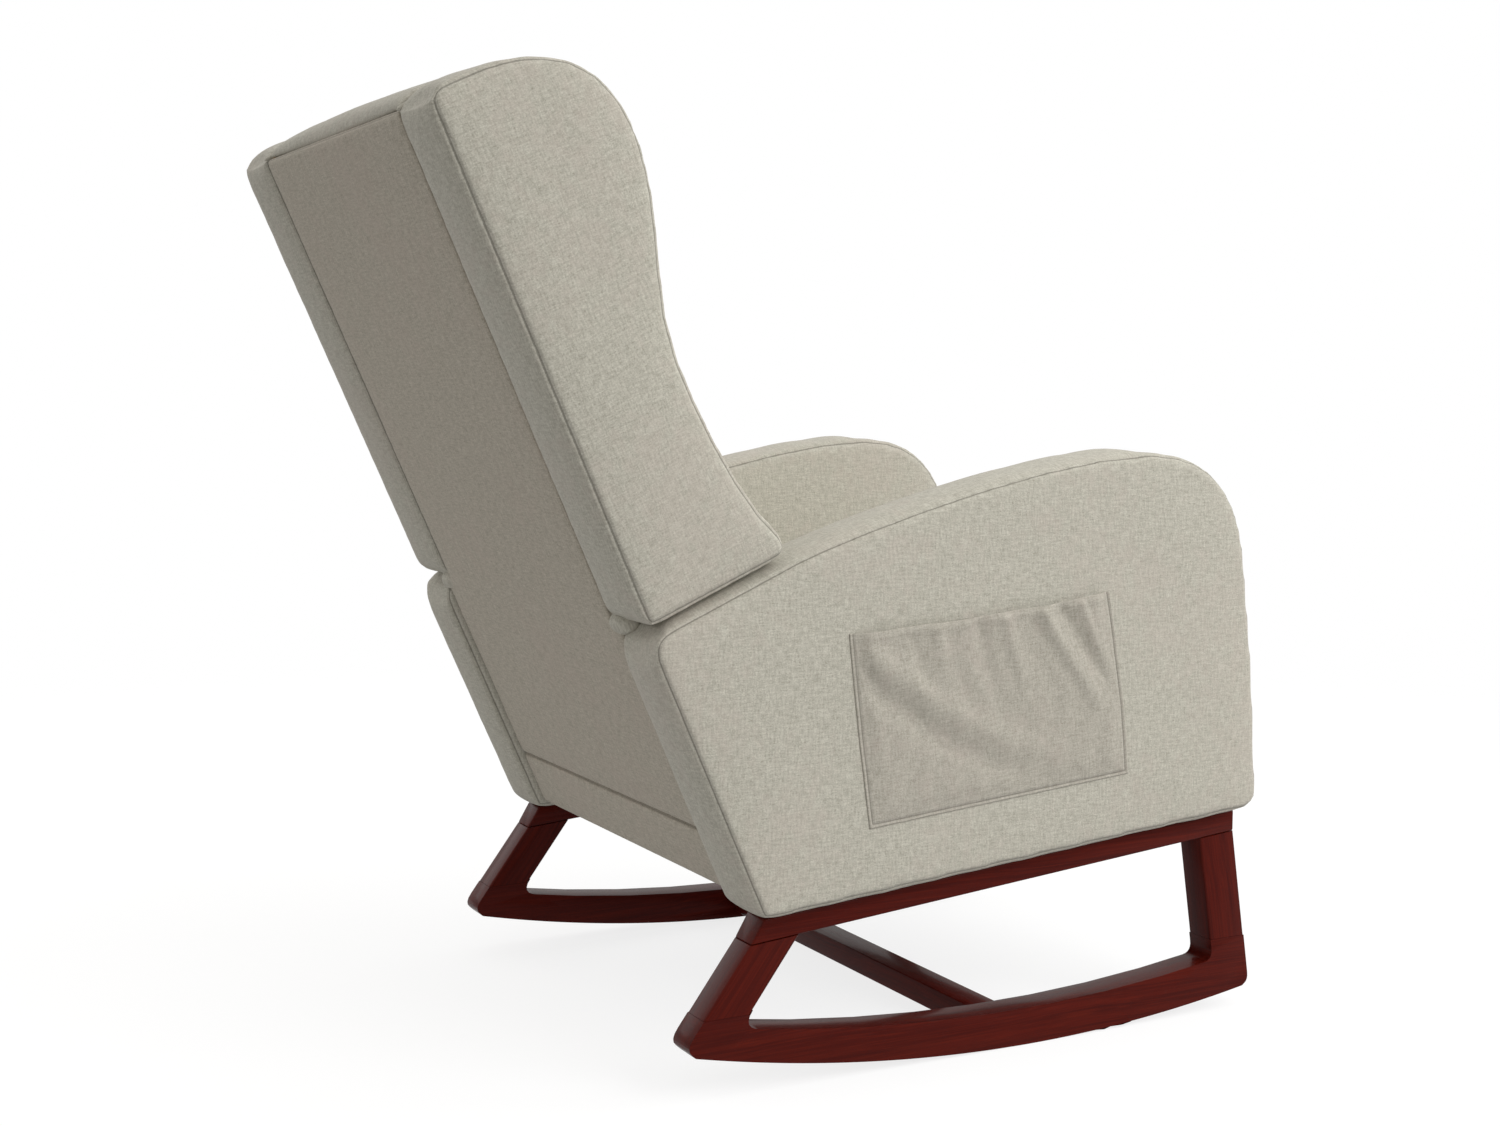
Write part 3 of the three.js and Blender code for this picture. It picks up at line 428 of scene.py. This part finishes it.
class Pad:
    """A boxed pad: two equal faces a thickness apart, sewn to a boxing strip round their outline.

    u and v lie in the faces and out points away from them. crown is how far the boxing swells and
    bulge how far the faces do, in metres. calm is how many times the swell is evened out.
    """

    def __init__(
        self,
        name,
        nodes,
        u,
        v,
        out,
        fill,
        voxel=0.005,
        crown=0.0068,
        bulge=0.0035,
        shrink=0.0,
        stuffed=True,
        calm=10,
    ):
        self.name = name
        self.nodes = nodes
        self.u, self.v, self.out = (np.array(axis) for axis in (u, v, out))
        self.fill = fill
        self.crown = crown
        self.bulge = bulge
        self.stuffed = stuffed
        self.calm = calm
        self.piece = self.cut_blank(out, voxel, shrink)

    def cut_blank(self, out, voxel, shrink):
        """The CAD piece's flat face on its outer side, thickened to the piece's far side."""
        bm = merged_copy(self.nodes[0])
        levels = [vert.co.dot(out) for vert in bm.verts]
        top, bottom = max(levels), min(levels)
        others = [
            face
            for face in bm.faces
            if face.normal.dot(out) < 0.999 or top - face.calc_center_median().dot(out) > 3e-4
        ]
        bmesh.ops.delete(bm, geom=others, context="FACES")
        bmesh.ops.dissolve_faces(bm, faces=bm.faces[:])
        bm.faces.ensure_lookup_table()
        face = bm.faces[0]
        self.corners = self.flattened([vert.co for vert in face.verts])
        self.middle = (top + bottom) / 2
        self.half = (top - bottom) / 2 - shrink
        bmesh.ops.translate(bm, verts=bm.verts, vec=-out * shrink)
        made = bmesh.ops.extrude_face_region(bm, geom=[face], use_keep_orig=True)
        moved = [item for item in made["geom"] if isinstance(item, bmesh.types.BMVert)]
        bmesh.ops.translate(bm, verts=moved, vec=-out * (2 * self.half))
        bmesh.ops.recalc_face_normals(bm, faces=bm.faces)
        return self.in_voxels(bm, voxel)

    def flattened(self, points):
        """The places of an outline's points in the pad's own plane."""
        return np.array([[p.dot(Vector(self.u)), p.dot(Vector(self.v))] for p in points])

    def in_voxels(self, bm, voxel):
        piece = object_from(bm, self.name)
        remesh = piece.modifiers.new("voxels", "REMESH")
        remesh.mode = "VOXEL"
        remesh.voxel_size = voxel
        bake_modifiers(piece)
        return piece

    def half_at(self, co):
        return self.half

    def measure(self, co):
        """Signed seam distance (positive on the boxing), place along the outline, and the map coordinates."""
        flat = np.stack([co @ self.u, co @ self.v], 1)
        inside, along, total = nearest_on_outline(flat, self.corners)
        depth = self.half_at(co) - np.abs(co @ self.out - self.middle)
        return depth, inside, along, total, flat

    def prepare(self):
        mesh = self.piece.data
        depth, inside, *_ = self.measure(self.rest)
        seam = np.maximum(np.abs(depth), np.abs(inside))
        group = self.piece.vertex_groups.new(name="sewn")
        for index in np.nonzero(seam < SEWN_REACH)[0]:
            group.add([int(index)], 1.0, "REPLACE")
        cloth = self.piece.modifiers.new("Cloth", "CLOTH")
        settings = cloth.settings
        settings.quality = 5
        settings.mass = 0.3
        settings.tension_stiffness = settings.compression_stiffness = 18
        settings.shear_stiffness = 8
        settings.bending_stiffness = 1.2
        settings.vertex_group_mass = "sewn"
        settings.use_pressure = True
        settings.uniform_pressure_force = PRESSURE
        settings.effector_weights.gravity = 0
        cloth.point_cache.frame_start = 1
        cloth.point_cache.frame_end = CLOTH_FRAMES

    def take_swell(self):
        graph = bpy.context.evaluated_depsgraph_get()
        swollen = points_of(self.piece.evaluated_get(graph).data)
        self.piece.modifiers.clear()
        return swollen - self.rest

    def guess_swell(self):
        depth, inside, *_ = self.measure(self.rest)
        swell = np.clip(np.maximum(depth, inside) / 0.03, 0, 1)
        return normals_of(self.piece.data) * swell[:, None]

    def calmed(self, swell):
        """Evens out the small ripples of the cloth step, and leaves the sewn edges where they are."""
        mesh = self.piece.data
        ends = np.empty(2 * len(mesh.edges), np.int32)
        mesh.edges.foreach_get("vertices", ends)
        one, other = ends.reshape(-1, 2).T
        count = len(swell)
        neighbours = np.bincount(ends, minlength=count)
        held = np.linalg.norm(swell, axis=1) < 1e-6
        for _ in range(self.calm):
            total = np.stack([
                np.bincount(one, swell[other, axis], count) + np.bincount(other, swell[one, axis], count)
                for axis in range(3)
            ], 1)
            swell = np.where(held[:, None], 0.0, (swell + total / neighbours[:, None]) / 2)
        return swell

    def shape(self, swell):
        """Scales the swell to this pad's crown and bulge, subdivides once, then sinks the seams."""
        mesh = self.piece.data
        swell = self.calmed(swell)
        depth, inside, *_ = self.measure(self.rest)
        side = depth - inside
        size = np.linalg.norm(swell, axis=1)
        boxing = np.percentile(size[side > 0.004], 80) if (side > 0.004).any() else 1
        face = np.percentile(size[side < -0.004], 80) if (side < -0.004).any() else 1
        share = np.clip(side / 0.012 + 0.5, 0, 1)
        full = np.clip(size / (share * boxing + (1 - share) * face), 1e-6, 1) ** FULLNESS
        reach = full * (share * self.crown + (1 - share) * self.bulge)
        co = self.rest + swell * (reach / (size + 1e-9))[:, None]
        set_attribute(mesh, "rest", self.rest, "FLOAT_VECTOR")
        place_points(mesh, co)
        smooth = self.piece.modifiers.new("rounder", "SMOOTH")
        smooth.factor = 0.5
        smooth.iterations = 2
        finer = self.piece.modifiers.new("finer", "SUBSURF")
        finer.levels = finer.render_levels = 1
        bake_modifiers(self.piece)
        self.finish()

    def finish(self):
        mesh = self.piece.data
        rest = attribute_of(mesh, "rest")
        depth, inside, along, total, flat = self.measure(rest)
        seam = depth - inside
        normals = normals_of(mesh)
        groove = -(GROOVE if self.stuffed else FLAT_GROOVE) * np.exp(-((seam / GROOVE_WIDTH) ** 2))
        near = np.exp(-np.abs(seam) / 0.011) * (1 - np.exp(-((seam / 0.004) ** 2)))
        pucker = PUCKER * near * np.sin(2 * np.pi * along / PUCKER_PITCH + 2.3 * np.sin(along * 37))
        lumps = np.array([noise.noise(Vector(p) * 13) for p in rest]) * 0.0007
        lumps += np.array([noise.noise(Vector(p) * 38 + Vector((5, 3, 1))) for p in rest]) * 0.00025
        push = groove + pucker + lumps * np.clip(np.abs(seam) / 0.012, 0, 1)
        place_points(mesh, points_of(mesh) + normals * push[:, None])
        mesh.attributes.remove(mesh.attributes["rest"])
        # The seam distance also places the linen's painted shade line.
        set_attribute(mesh, "seam", seam)
        self.map_cloth(mesh, seam, along, total, flat, rest @ self.out)
        mesh.shade_smooth()

    def map_cloth(self, mesh, seam, along, total, flat, across):
        """Faces take their own plane's coordinates, and the boxing its length and width, in metres."""
        corners = corner_points(mesh)
        starts = np.empty(len(mesh.polygons), np.int32)
        counts = np.empty(len(mesh.polygons), np.int32)
        mesh.polygons.foreach_get("loop_start", starts)
        mesh.polygons.foreach_get("loop_total", counts)
        owner = np.repeat(np.arange(len(starts)), counts)
        mean = np.bincount(owner, seam[corners]) / counts
        boxing = (mean > 0)[owner]
        run = along[corners].copy()
        low = np.full(len(starts), np.inf)
        high = np.full(len(starts), -np.inf)
        np.minimum.at(low, owner, run)
        np.maximum.at(high, owner, run)
        wraps = ((high - low) > total / 2)[owner] & (run < total / 2)
        run[wraps] += total
        uv = np.where(boxing[:, None], np.stack([run, across[corners]], 1), flat[corners])
        write_cloth_map(mesh, uv)


class BackPad(Pad):
    """The inside back: one profile across the chair, wider between the arms than between the wings."""

    def cut_blank(self, out, voxel, shrink):
        bm = merged_copy(self.nodes[0])
        co = np.array([vert.co for vert in bm.verts])
        up = co @ self.v
        wide = np.abs(co[:, 0]).max()
        self.shoulder = up[np.abs(co[:, 0]) > wide - 1e-4].max()
        self.narrow = np.abs(co[up > self.shoulder + 0.02][:, 0]).max()
        self.wide = wide
        self.middle = 0.0
        self.half = self.narrow
        section = bm.copy()
        everything = section.verts[:] + section.edges[:] + section.faces[:]
        bmesh.ops.bisect_plane(
            section, geom=everything, plane_co=(0, 0, 0), plane_no=ACROSS, clear_inner=True, clear_outer=True
        )
        bmesh.ops.remove_doubles(section, verts=section.verts, dist=1e-4)
        self.corners = self.flattened(loop_points(section))
        section.free()
        return self.in_voxels(bm, voxel)

    def half_at(self, co):
        return np.where(co @ self.v > self.shoulder + 0.001, self.narrow, self.wide)


def loop_points(bm):
    """The points of a single closed loop of edges, in order."""
    edge = bm.edges[:][0]
    start = vert = edge.verts[0]
    points = []
    while True:
        points.append(vert.co.copy())
        vert = edge.other_vert(vert)
        if vert == start:
            return points
        edge = next(e for e in vert.link_edges if e != edge)


def declare(piece, nodes):
    piece.data.materials.clear()
    piece.data.materials.append(LINEN)
    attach(piece, "root")
    if nodes:
        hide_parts(*nodes)


def mirrored(piece, name):
    bm = bmesh.new()
    bm.from_mesh(piece.data)
    bmesh.ops.scale(bm, vec=(-1, 1, 1), verts=bm.verts)
    bmesh.ops.reverse_faces(bm, faces=bm.faces)
    twin = object_from(bm, name)
    twin.data.shade_smooth()
    return twin


OUTWARD = -ACROSS  # the side that is modelled first
BACK_PLANE = (ACROSS, BACK_UP, BACK_OUT)
PADS = [
    Pad("right_arm", ["right_arm_pad"], REARWARD, UPWARD, OUTWARD, fill=0.8),
    Pad("right_wing", ["right_wing_pad"], BACK_OUT, BACK_UP, OUTWARD, fill=0.8, bulge=0.0045),
    Pad(
        "outside_back",
        ["outside_back_panel"],
        *BACK_PLANE,
        fill=0.4,
        voxel=0.004,
        crown=0.001,
        bulge=0.0025,
        stuffed=False,
    ),
    Pad(
        "lower_back",
        ["lower_back_panel"],
        *BACK_PLANE,
        fill=0.4,
        voxel=0.004,
        crown=0.001,
        bulge=0.002,
        stuffed=False,
    ),
    Pad("front_band", ["front_border"], ACROSS, SEAT_UP, -SEAT_REAR, fill=0.5, crown=0.002, bulge=0.005),
    BackPad(
        "inside_back",
        ["inside_back_pad"],
        BACK_OUT,
        BACK_UP,
        OUTWARD,
        fill=0.7,
        voxel=0.008,
        crown=0.007,
        bulge=0.0,
        calm=60,
    ),
    Pad(
        "cushion",
        ["seat_cushion"],
        REARWARD,
        UPWARD,
        OUTWARD,
        fill=0.8,
        voxel=0.008,
        crown=0.012,
        bulge=0.003,
        shrink=0.002,
    ),
]


def puff_pads():
    """Each pad's swell, from air inside its sewn cloth, or a plain rise for a thin stretched panel."""
    stuffed = [pad for pad in PADS if pad.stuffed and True]
    for pad in PADS:
        pad.rest = points_of(pad.piece.data)
    for pad in stuffed:
        pad.prepare()
    for step in range(1, CLOTH_FRAMES + 1 if stuffed else 1):
        scene.frame_set(step)
    return [pad.take_swell() if pad in stuffed else pad.guess_swell() for pad in PADS]


for pad, swell in zip(PADS, puff_pads()):
    pad.shape(swell)
    declare(pad.piece, pad.nodes)
# Painted shade: the rear-facing back panels take the darker, warmer copy of the linen.
for name in ("outside_back", "lower_back"):
    bpy.data.objects[name].data.materials[0] = LINEN_FLAT_SHADED

for name in ("arm", "wing"):
    source = bpy.data.objects[f"right_{name}"]
    declare(mirrored(source, f"left_{name}"), [f"left_{name}_pad"])


# ---------------------------------------------------------------- cloth tucks in the corners


def reach(node, axis):
    """The lowest and highest place of a CAD piece along an axis."""
    along = points_of(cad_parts[node].data) @ np.array(axis)
    return along.min(), along.max()


def tuck(name, across, out, up, size):
    """A rounded fold of cloth that closes a corner where three pads meet, placed along the back's axes."""
    place = ACROSS * across + BACK_OUT * out + BACK_UP * up
    bm = bmesh.new()
    bmesh.ops.create_uvsphere(bm, u_segments=40, v_segments=24, radius=1.0)
    bmesh.ops.scale(bm, vec=size, verts=bm.verts)
    bmesh.ops.rotate(bm, cent=(0, 0, 0), matrix=Matrix.Rotation(-RECLINE, 3, "X"), verts=bm.verts)
    bmesh.ops.translate(bm, vec=place, verts=bm.verts)
    piece = object_from(bm, name)
    mesh = piece.data
    co = points_of(mesh)
    dents = np.array([noise.noise(Vector(p) * 90) for p in co]) * 0.0007
    place_points(mesh, co + normals_of(mesh) * dents[:, None])
    set_attribute(mesh, "seam", np.full(len(co), 1.0))
    flat = np.stack([co @ np.array(ACROSS), co @ np.array(BACK_OUT)], 1)
    write_cloth_map(mesh, flat[corner_points(mesh)])
    mesh.shade_smooth()
    declare(piece, [])


def add_tucks():
    """One fold under each wing's rear corner, and one along the top of the back beside each wing."""
    inner = reach("left_wing_pad", ACROSS)[0]
    rear = reach("left_wing_pad", BACK_OUT)[1] - 0.017
    foot = reach("left_wing_pad", BACK_UP)[0] - 0.003
    post = reach("left_back_post", BACK_OUT)[1] - 0.0505
    top = reach("left_back_post", BACK_UP)[1] + 0.0012
    for side, sign in (("right", -1), ("left", 1)):
        tuck(f"{side}_tuck", sign * (inner + 0.012), rear, foot, (0.024, 0.016, 0.013))
        tuck(f"{side}_top_tuck", sign * inner, post, top, (0.0065, 0.060, 0.0065))


add_tucks()


# ---------------------------------------------------------------- rocker frames


def wood_piece(node, grain_turn, width, ends=None):
    """A copy of a CAD piece with its long edges rounded over. Edges of its joint faces stay sharp."""
    bm = merged_copy(node)
    if node.endswith("_runner"):
        round_underside(bm)
    bmesh.ops.dissolve_limit(bm, angle_limit=math.radians(0.2), verts=bm.verts, edges=bm.edges)
    sharp = []
    for edge in bm.edges:
        if len(edge.link_faces) != 2 or edge.calc_face_angle(0) < math.radians(35):
            continue
        if ends and any(ends(face) for face in edge.link_faces):
            continue
        across = edge.calc_length() > 0.004 and any(abs(face.normal.x) > 0.99 for face in edge.link_faces)
        if across or abs((edge.verts[0].co - edge.verts[1].co).normalized().x) > 0.99:
            sharp.append(edge)
    bmesh.ops.bevel(
        bm, geom=sharp, offset=width, affect="EDGES", segments=3, profile=0.5, material=-1, clamp_overlap=True
    )
    for face in bm.faces:
        face.smooth = True
    for edge in bm.edges:
        edge.smooth = edge.calc_face_angle(0) < math.radians(32)
    piece = object_from(bm, node + "_wood")
    piece.data.materials.clear()
    piece.data.materials.append(timber("cherry_" + node, grain_turn, *CHERRY))
    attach(piece, "root")
    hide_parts(node)
    return piece


def round_underside(bm):
    """Cuts the runner's flats across at close steps and lifts them onto the rocker circle."""
    touch = min(vert.co.z for vert in bm.verts)
    flats = [f for f in bm.faces if f.normal.z < -0.95 and f.calc_center_median().z < RUNNER_TOP]
    contact = [f for f in flats if f.normal.z < -0.99999 and f.calc_center_median().z < touch + 1e-4]
    ys = [vert.co.y for f in contact for vert in f.verts]
    centre = (min(ys) + max(ys)) / 2
    corners = [vert.co.y for f in flats for vert in f.verts]
    low, high = min(corners), max(corners)
    steps = int((high - low) / CUT_PITCH)
    for i in range(1, steps):
        cut = Vector((0, low + (high - low) * i / steps, 0))
        if min(abs(cut.y - y) for y in corners) < CUT_PITCH / 2:
            continue  # a cut beside a corner would leave an edge too short to round over
        everything = bm.verts[:] + bm.edges[:] + bm.faces[:]
        bmesh.ops.bisect_plane(bm, geom=everything, plane_co=cut, plane_no=REARWARD)
    bm.normal_update()
    for face in bm.faces:
        middle = face.calc_center_median()
        lean = math.asin(max(-1, min(1, (middle.y - centre) / ROCKER_RADIUS)))
        radial = Vector((0, math.sin(lean), -math.cos(lean)))
        if middle.z < RUNNER_TOP and face.normal.angle(radial) < math.radians(5):
            for vert in face.verts:
                across = vert.co.y - centre
                vert.co.z = touch + ROCKER_RADIUS - math.sqrt(ROCKER_RADIUS**2 - across**2)


def level_face(face):
    return abs(face.normal.z) > 0.995 and face.calc_center_median().z > RUNNER_TOP


LEG_LEAN = {"front": 8.5, "rear": -37}  # degrees that each leg's grain leans back from upright
for side in ("left", "right"):
    wood_piece(f"{side}_runner", ALONG_Y, 0.0024, level_face)
    wood_piece(f"{side}_side_rail", ALONG_Y, 0.0022)
    for leg, lean in LEG_LEAN.items():
        wood_piece(f"{side}_{leg}_leg", leaning(lean), 0.0024, lambda f: abs(f.normal.z) > 0.97)
wood_piece("stretcher", ALONG_X, 0.0016)


# ---------------------------------------------------------------- inner CAD pieces that keep showing


def finish_inner(nodes, material):
    for name in nodes:
        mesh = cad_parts[name].data
        mesh.materials.clear()
        mesh.materials.append(material)


INNER_LOOKS = [
    (("spring", "bolt", "screw"), STEEL),
    (("strap", "dust_cover"), WEBBING),
    (("foot_dowel", "head_dowel", "back_post", "wing_frame"), BARE_WOOD_UP),
    (("stretcher_dowel", "back_top_rail", "back_bottom_rail"), BARE_WOOD_X),
    (("seat_front_rail", "seat_rear_rail"), BARE_WOOD_X),
    (("arm_base", "seat_side_rail", "arm_panel"), BARE_WOOD_Y),
]
for words, material in INNER_LOOKS:
    finish_inner([n for n in sorted(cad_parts) if any(word in n for word in words)], material)


# ---------------------------------------------------------------- side pockets


# Each fold is a line of (place from the rear edge, place down from the mouth), both as shares of the
# pocket, with its height and half width in millimetres.
POCKET_FOLDS = [
    ([(0.72, 0.05), (0.80, 0.32), (0.92, 0.66)], 3.4, 9),
    ([(0.80, 0.05), (0.88, 0.32), (0.99, 0.60)], -2.6, 8),
    ([(0.87, 0.04), (0.93, 0.36)], 1.8, 6),
    ([(0.57, 0.05), (0.60, 0.34), (0.64, 0.66)], 2.0, 9),
    ([(0.47, 0.05), (0.50, 0.40)], -1.8, 9),
    ([(0.31, 0.05), (0.33, 0.30)], 1.4, 8),
    ([(0.22, 0.06), (0.25, 0.34)], -1.0, 8),
    ([(0.04, 0.24), (0.27, 0.60), (0.49, 0.82), (0.76, 0.99)], -2.6, 13),
    ([(0.06, 0.12), (0.33, 0.48), (0.55, 0.70), (0.85, 0.88)], 2.4, 14),
]


def fold_height(across, down, folds, width, height):
    """How far the folds lift the cloth, in metres, with each fading out towards its lower end."""
    lift = np.zeros(len(across))
    here = np.stack([across * width, down * height], 1)
    for line, rise, spread in folds:
        best = np.full(len(across), np.inf)
        fade = np.ones(len(across))
        for i, (a, b) in enumerate(zip(line, line[1:])):
            start = np.array([a[0] * width, a[1] * height])
            run = np.array([b[0] * width, b[1] * height]) - start
            t = np.clip((here - start) @ run / (run @ run), 0, 1)
            d = np.linalg.norm(here - start - t[:, None] * run, axis=1)
            nearer = d < best
            best[nearer] = d[nearer]
            fade[nearer] = 1 - ((i + t[nearer]) / (len(line) - 1)) ** 2
        lift += 1.5 * rise * MM * np.exp(-((best / (spread * MM)) ** 2)) * fade
    return lift


def side_pocket():
    """The patch pocket on the modelled side: sewn round three edges, its mouth gathered and standing off."""
    node = "right_side_pocket"
    co = points_of(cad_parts[node].data)
    rear, lift = co @ np.array(SEAT_REAR), co @ np.array(SEAT_UP)
    width, height = np.ptp(rear), np.ptp(lift)
    bm = bmesh.new()
    bmesh.ops.create_grid(bm, x_segments=200, y_segments=130, size=0.5)
    piece = object_from(bm, "right_pocket")
    mesh = piece.data
    flat = points_of(mesh)
    across, down = 0.5 - flat[:, 0], 0.5 - flat[:, 1]
    pull_rear = 0.008 * down**1.6
    pull_front = 0.005 * (1 - down) ** 2 - 0.007 * np.minimum(down * 1.6, 1)
    along = rear.max() - pull_rear - across * (width - pull_rear - pull_front)
    sag = 0.003 * np.sin(np.pi * across) + 0.0006 * np.sin(across * 19)
    up = lift.max() - down * height - sag * (1 - down) ** 2
    arm = bpy.data.objects["right_arm"]
    tree = BVHTree.FromObject(arm, bpy.context.evaluated_depsgraph_get())
    y, z = plane_to_row(along, up)
    surface = np.array([tree.ray_cast(Vector((-0.5, b, c)), ACROSS)[0].x for b, c in zip(y, z)])
    sewn = np.minimum(np.minimum(across, 1 - across) * width, (1 - down) * height)
    free = np.clip((sewn - 0.004) / 0.02, 0, 1)
    free = free * free * (3 - 2 * free)
    puff = 0.0022 * free + 0.0022 * free * (1 - down) ** 2
    hem = 0.0011 * np.exp(-(((down * height - 0.006) / 0.005) ** 2)) * free
    stitch = -0.0006 * np.exp(-(((sewn - 0.004) / 0.0012) ** 2))
    edge_roll = 0.0005 * np.clip(sewn / 0.0015, 0, 1)
    folds = fold_height(across, down, POCKET_FOLDS, width, height) * free
    ripple = 0.0004 * np.sin(across * 61 + 2 * np.sin(down * 9)) * free
    stand = np.maximum(0.0007 + edge_roll + puff + hem + stitch + folds + ripple, 0.0006)
    place_points(mesh, np.stack([surface - stand, y, z], 1))
    # The linen paints its dark shade line along this stitching, 4 mm in from the sewn edges.
    set_attribute(mesh, "seam", sewn - 0.004)
    write_cloth_map(mesh, np.stack([along, up], 1)[corner_points(mesh)])
    turn_outwards(mesh)
    mesh.shade_smooth()
    return piece, (width, height)


def turn_outwards(mesh):
    bm = bmesh.new()
    bm.from_mesh(mesh)
    bm.normal_update()
    if sum(face.normal.x for face in bm.faces) > 0:
        bmesh.ops.reverse_faces(bm, faces=bm.faces)
    bm.to_mesh(mesh)
    bm.free()


def plane_to_row(along, up):
    axes = np.array([[SEAT_REAR.y, SEAT_UP.y], [SEAT_REAR.z, SEAT_UP.z]])
    both = axes @ np.stack([along, up])
    return both[0], both[1]


def add_pockets():
    near, size = side_pocket()
    for side, piece in (("right", near), ("left", mirrored(near, "left_pocket"))):
        # The pockets take the darker copy of the linen: painted shade.
        piece.data.materials.clear()
        piece.data.materials.append(LINEN_POCKET_SHADED)
        cloth = piece.modifiers.new("cloth thickness", "SOLIDIFY")
        cloth.thickness = 0.0009
        cloth.offset = -1
        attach(piece, "root")
        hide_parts(f"{side}_side_pocket")


add_pockets()


# ---------------------------------------------------------------- camera, light, floor


CAMERA_LENS = 48.59  # millimetres, on a sensor 36 mm wide
CAMERA_AZIMUTH = math.radians(242.42)
CAMERA_ELEVATION = math.radians(5.10)
CAMERA_PLACE = (-2.0606, 1.0622, 0.7077)
FLOOR_RADIUS = 3.2


def add_camera():
    data = bpy.data.cameras.new("camera")
    data.lens = CAMERA_LENS
    data.sensor_width = 36
    camera = bpy.data.objects.new("camera", data)
    scene.collection.objects.link(camera)
    azimuth, elevation = CAMERA_AZIMUTH, CAMERA_ELEVATION
    back = Vector((
        math.sin(azimuth) * math.cos(elevation),
        -math.cos(azimuth) * math.cos(elevation),
        math.sin(elevation),
    ))
    camera.location = CAMERA_PLACE
    camera.rotation_euler = (-back).to_track_quat("-Z", "Y").to_euler()
    scene.camera = camera


def add_softbox(name, place, aim, size, power):
    """A square light of this size in metres and power in watts."""
    data = bpy.data.lights.new(name, "AREA")
    data.size = size
    data.energy = power
    light = bpy.data.objects.new(name, data)
    light.location = place
    light.rotation_euler = (Vector(aim) - Vector(place)).to_track_quat("-Z", "Y").to_euler()
    scene.collection.objects.link(light)


def add_floor():
    """A pale round floor that fades out into the pale background. It lights the chair less than it shows."""
    bm = bmesh.new()
    bmesh.ops.create_circle(bm, cap_ends=True, segments=96, radius=FLOOR_RADIUS)
    bmesh.ops.translate(bm, verts=bm.verts, vec=(0, 0, -0.0005))
    floor = object_from(bm, "floor")
    material, nodes, shader = new_material("floor")
    shader.inputs["Base Color"].default_value = (0.24, 0.24, 0.24, 1)
    shader.inputs["Roughness"].default_value = 0.9
    shader.inputs["Specular IOR Level"].default_value = 0.0
    shader.inputs["Emission Color"].default_value = (1, 1, 1, 1)
    path = nodes.add("LightPath")
    glow = nodes.math("ADD", nodes.math("MULTIPLY", path.outputs["Is Camera Ray"], 0.48), 0.32)
    nodes.put(glow, shader.inputs["Emission Strength"])
    place = nodes.add("TexCoord")
    radius = nodes.add("VectorMath", operation="LENGTH")
    nodes.put(place.outputs["Object"], radius.inputs[0])
    nodes.put(nodes.span(radius.outputs["Value"], 0.7, 3.0, 1.0, 0.0, smooth=True), shader.inputs["Alpha"])
    floor.data.materials.append(material)


def add_world():
    world = bpy.data.worlds.new("studio")
    scene.world = world
    world.use_nodes = True
    nodes = Nodes(world.node_tree)
    ambient = world.node_tree.nodes["Background"]
    place = nodes.add("TexCoord")
    parts = nodes.add("SeparateXYZ")
    nodes.put(place.outputs["Generated"], parts.inputs[0])
    upward = nodes.math("MAXIMUM", parts.outputs[2], 0.0)
    aside = nodes.math("MAXIMUM", nodes.math("MULTIPLY", parts.outputs[0], -1.0), 0.0)
    overhead = nodes.math("ADD", nodes.math("MULTIPLY", upward, 0.66), 0.335)
    dimmed = nodes.math("MULTIPLY", aside, 0.12)
    nodes.put(nodes.math("SUBTRACT", overhead, dimmed), ambient.inputs["Strength"])
    ambient.inputs["Color"].default_value = (1, 0.985, 0.965, 1)
    seen = nodes.add("Background")
    seen.inputs["Color"].default_value = (1, 1, 1, 1)
    seen.inputs["Strength"].default_value = 1.0
    path = nodes.add("LightPath")
    mix = nodes.add("MixShader")
    nodes.put(path.outputs["Is Camera Ray"], mix.inputs[0])
    nodes.put(ambient.outputs[0], mix.inputs[1])
    nodes.put(seen.outputs[0], mix.inputs[2])
    nodes.put(mix.outputs[0], world.node_tree.nodes["World Output"].inputs["Surface"])


add_camera()
add_floor()
add_world()
SOFTBOXES = [
    ("key", (-3.2, -1.4, 2.2), (0, 0, 0.5), 2.4, 79),
    ("front", (-1.0, -3.2, 2.0), (0.2, 0, 0.6), 1.6, 31),
    ("side", (3.0, 1.0, 1.9), (0, 0, 0.4), 2.4, 17),
]
for softbox in SOFTBOXES:
    add_softbox(*softbox)
scene.view_settings.view_transform = "Standard"
scene.view_settings.look = "None"
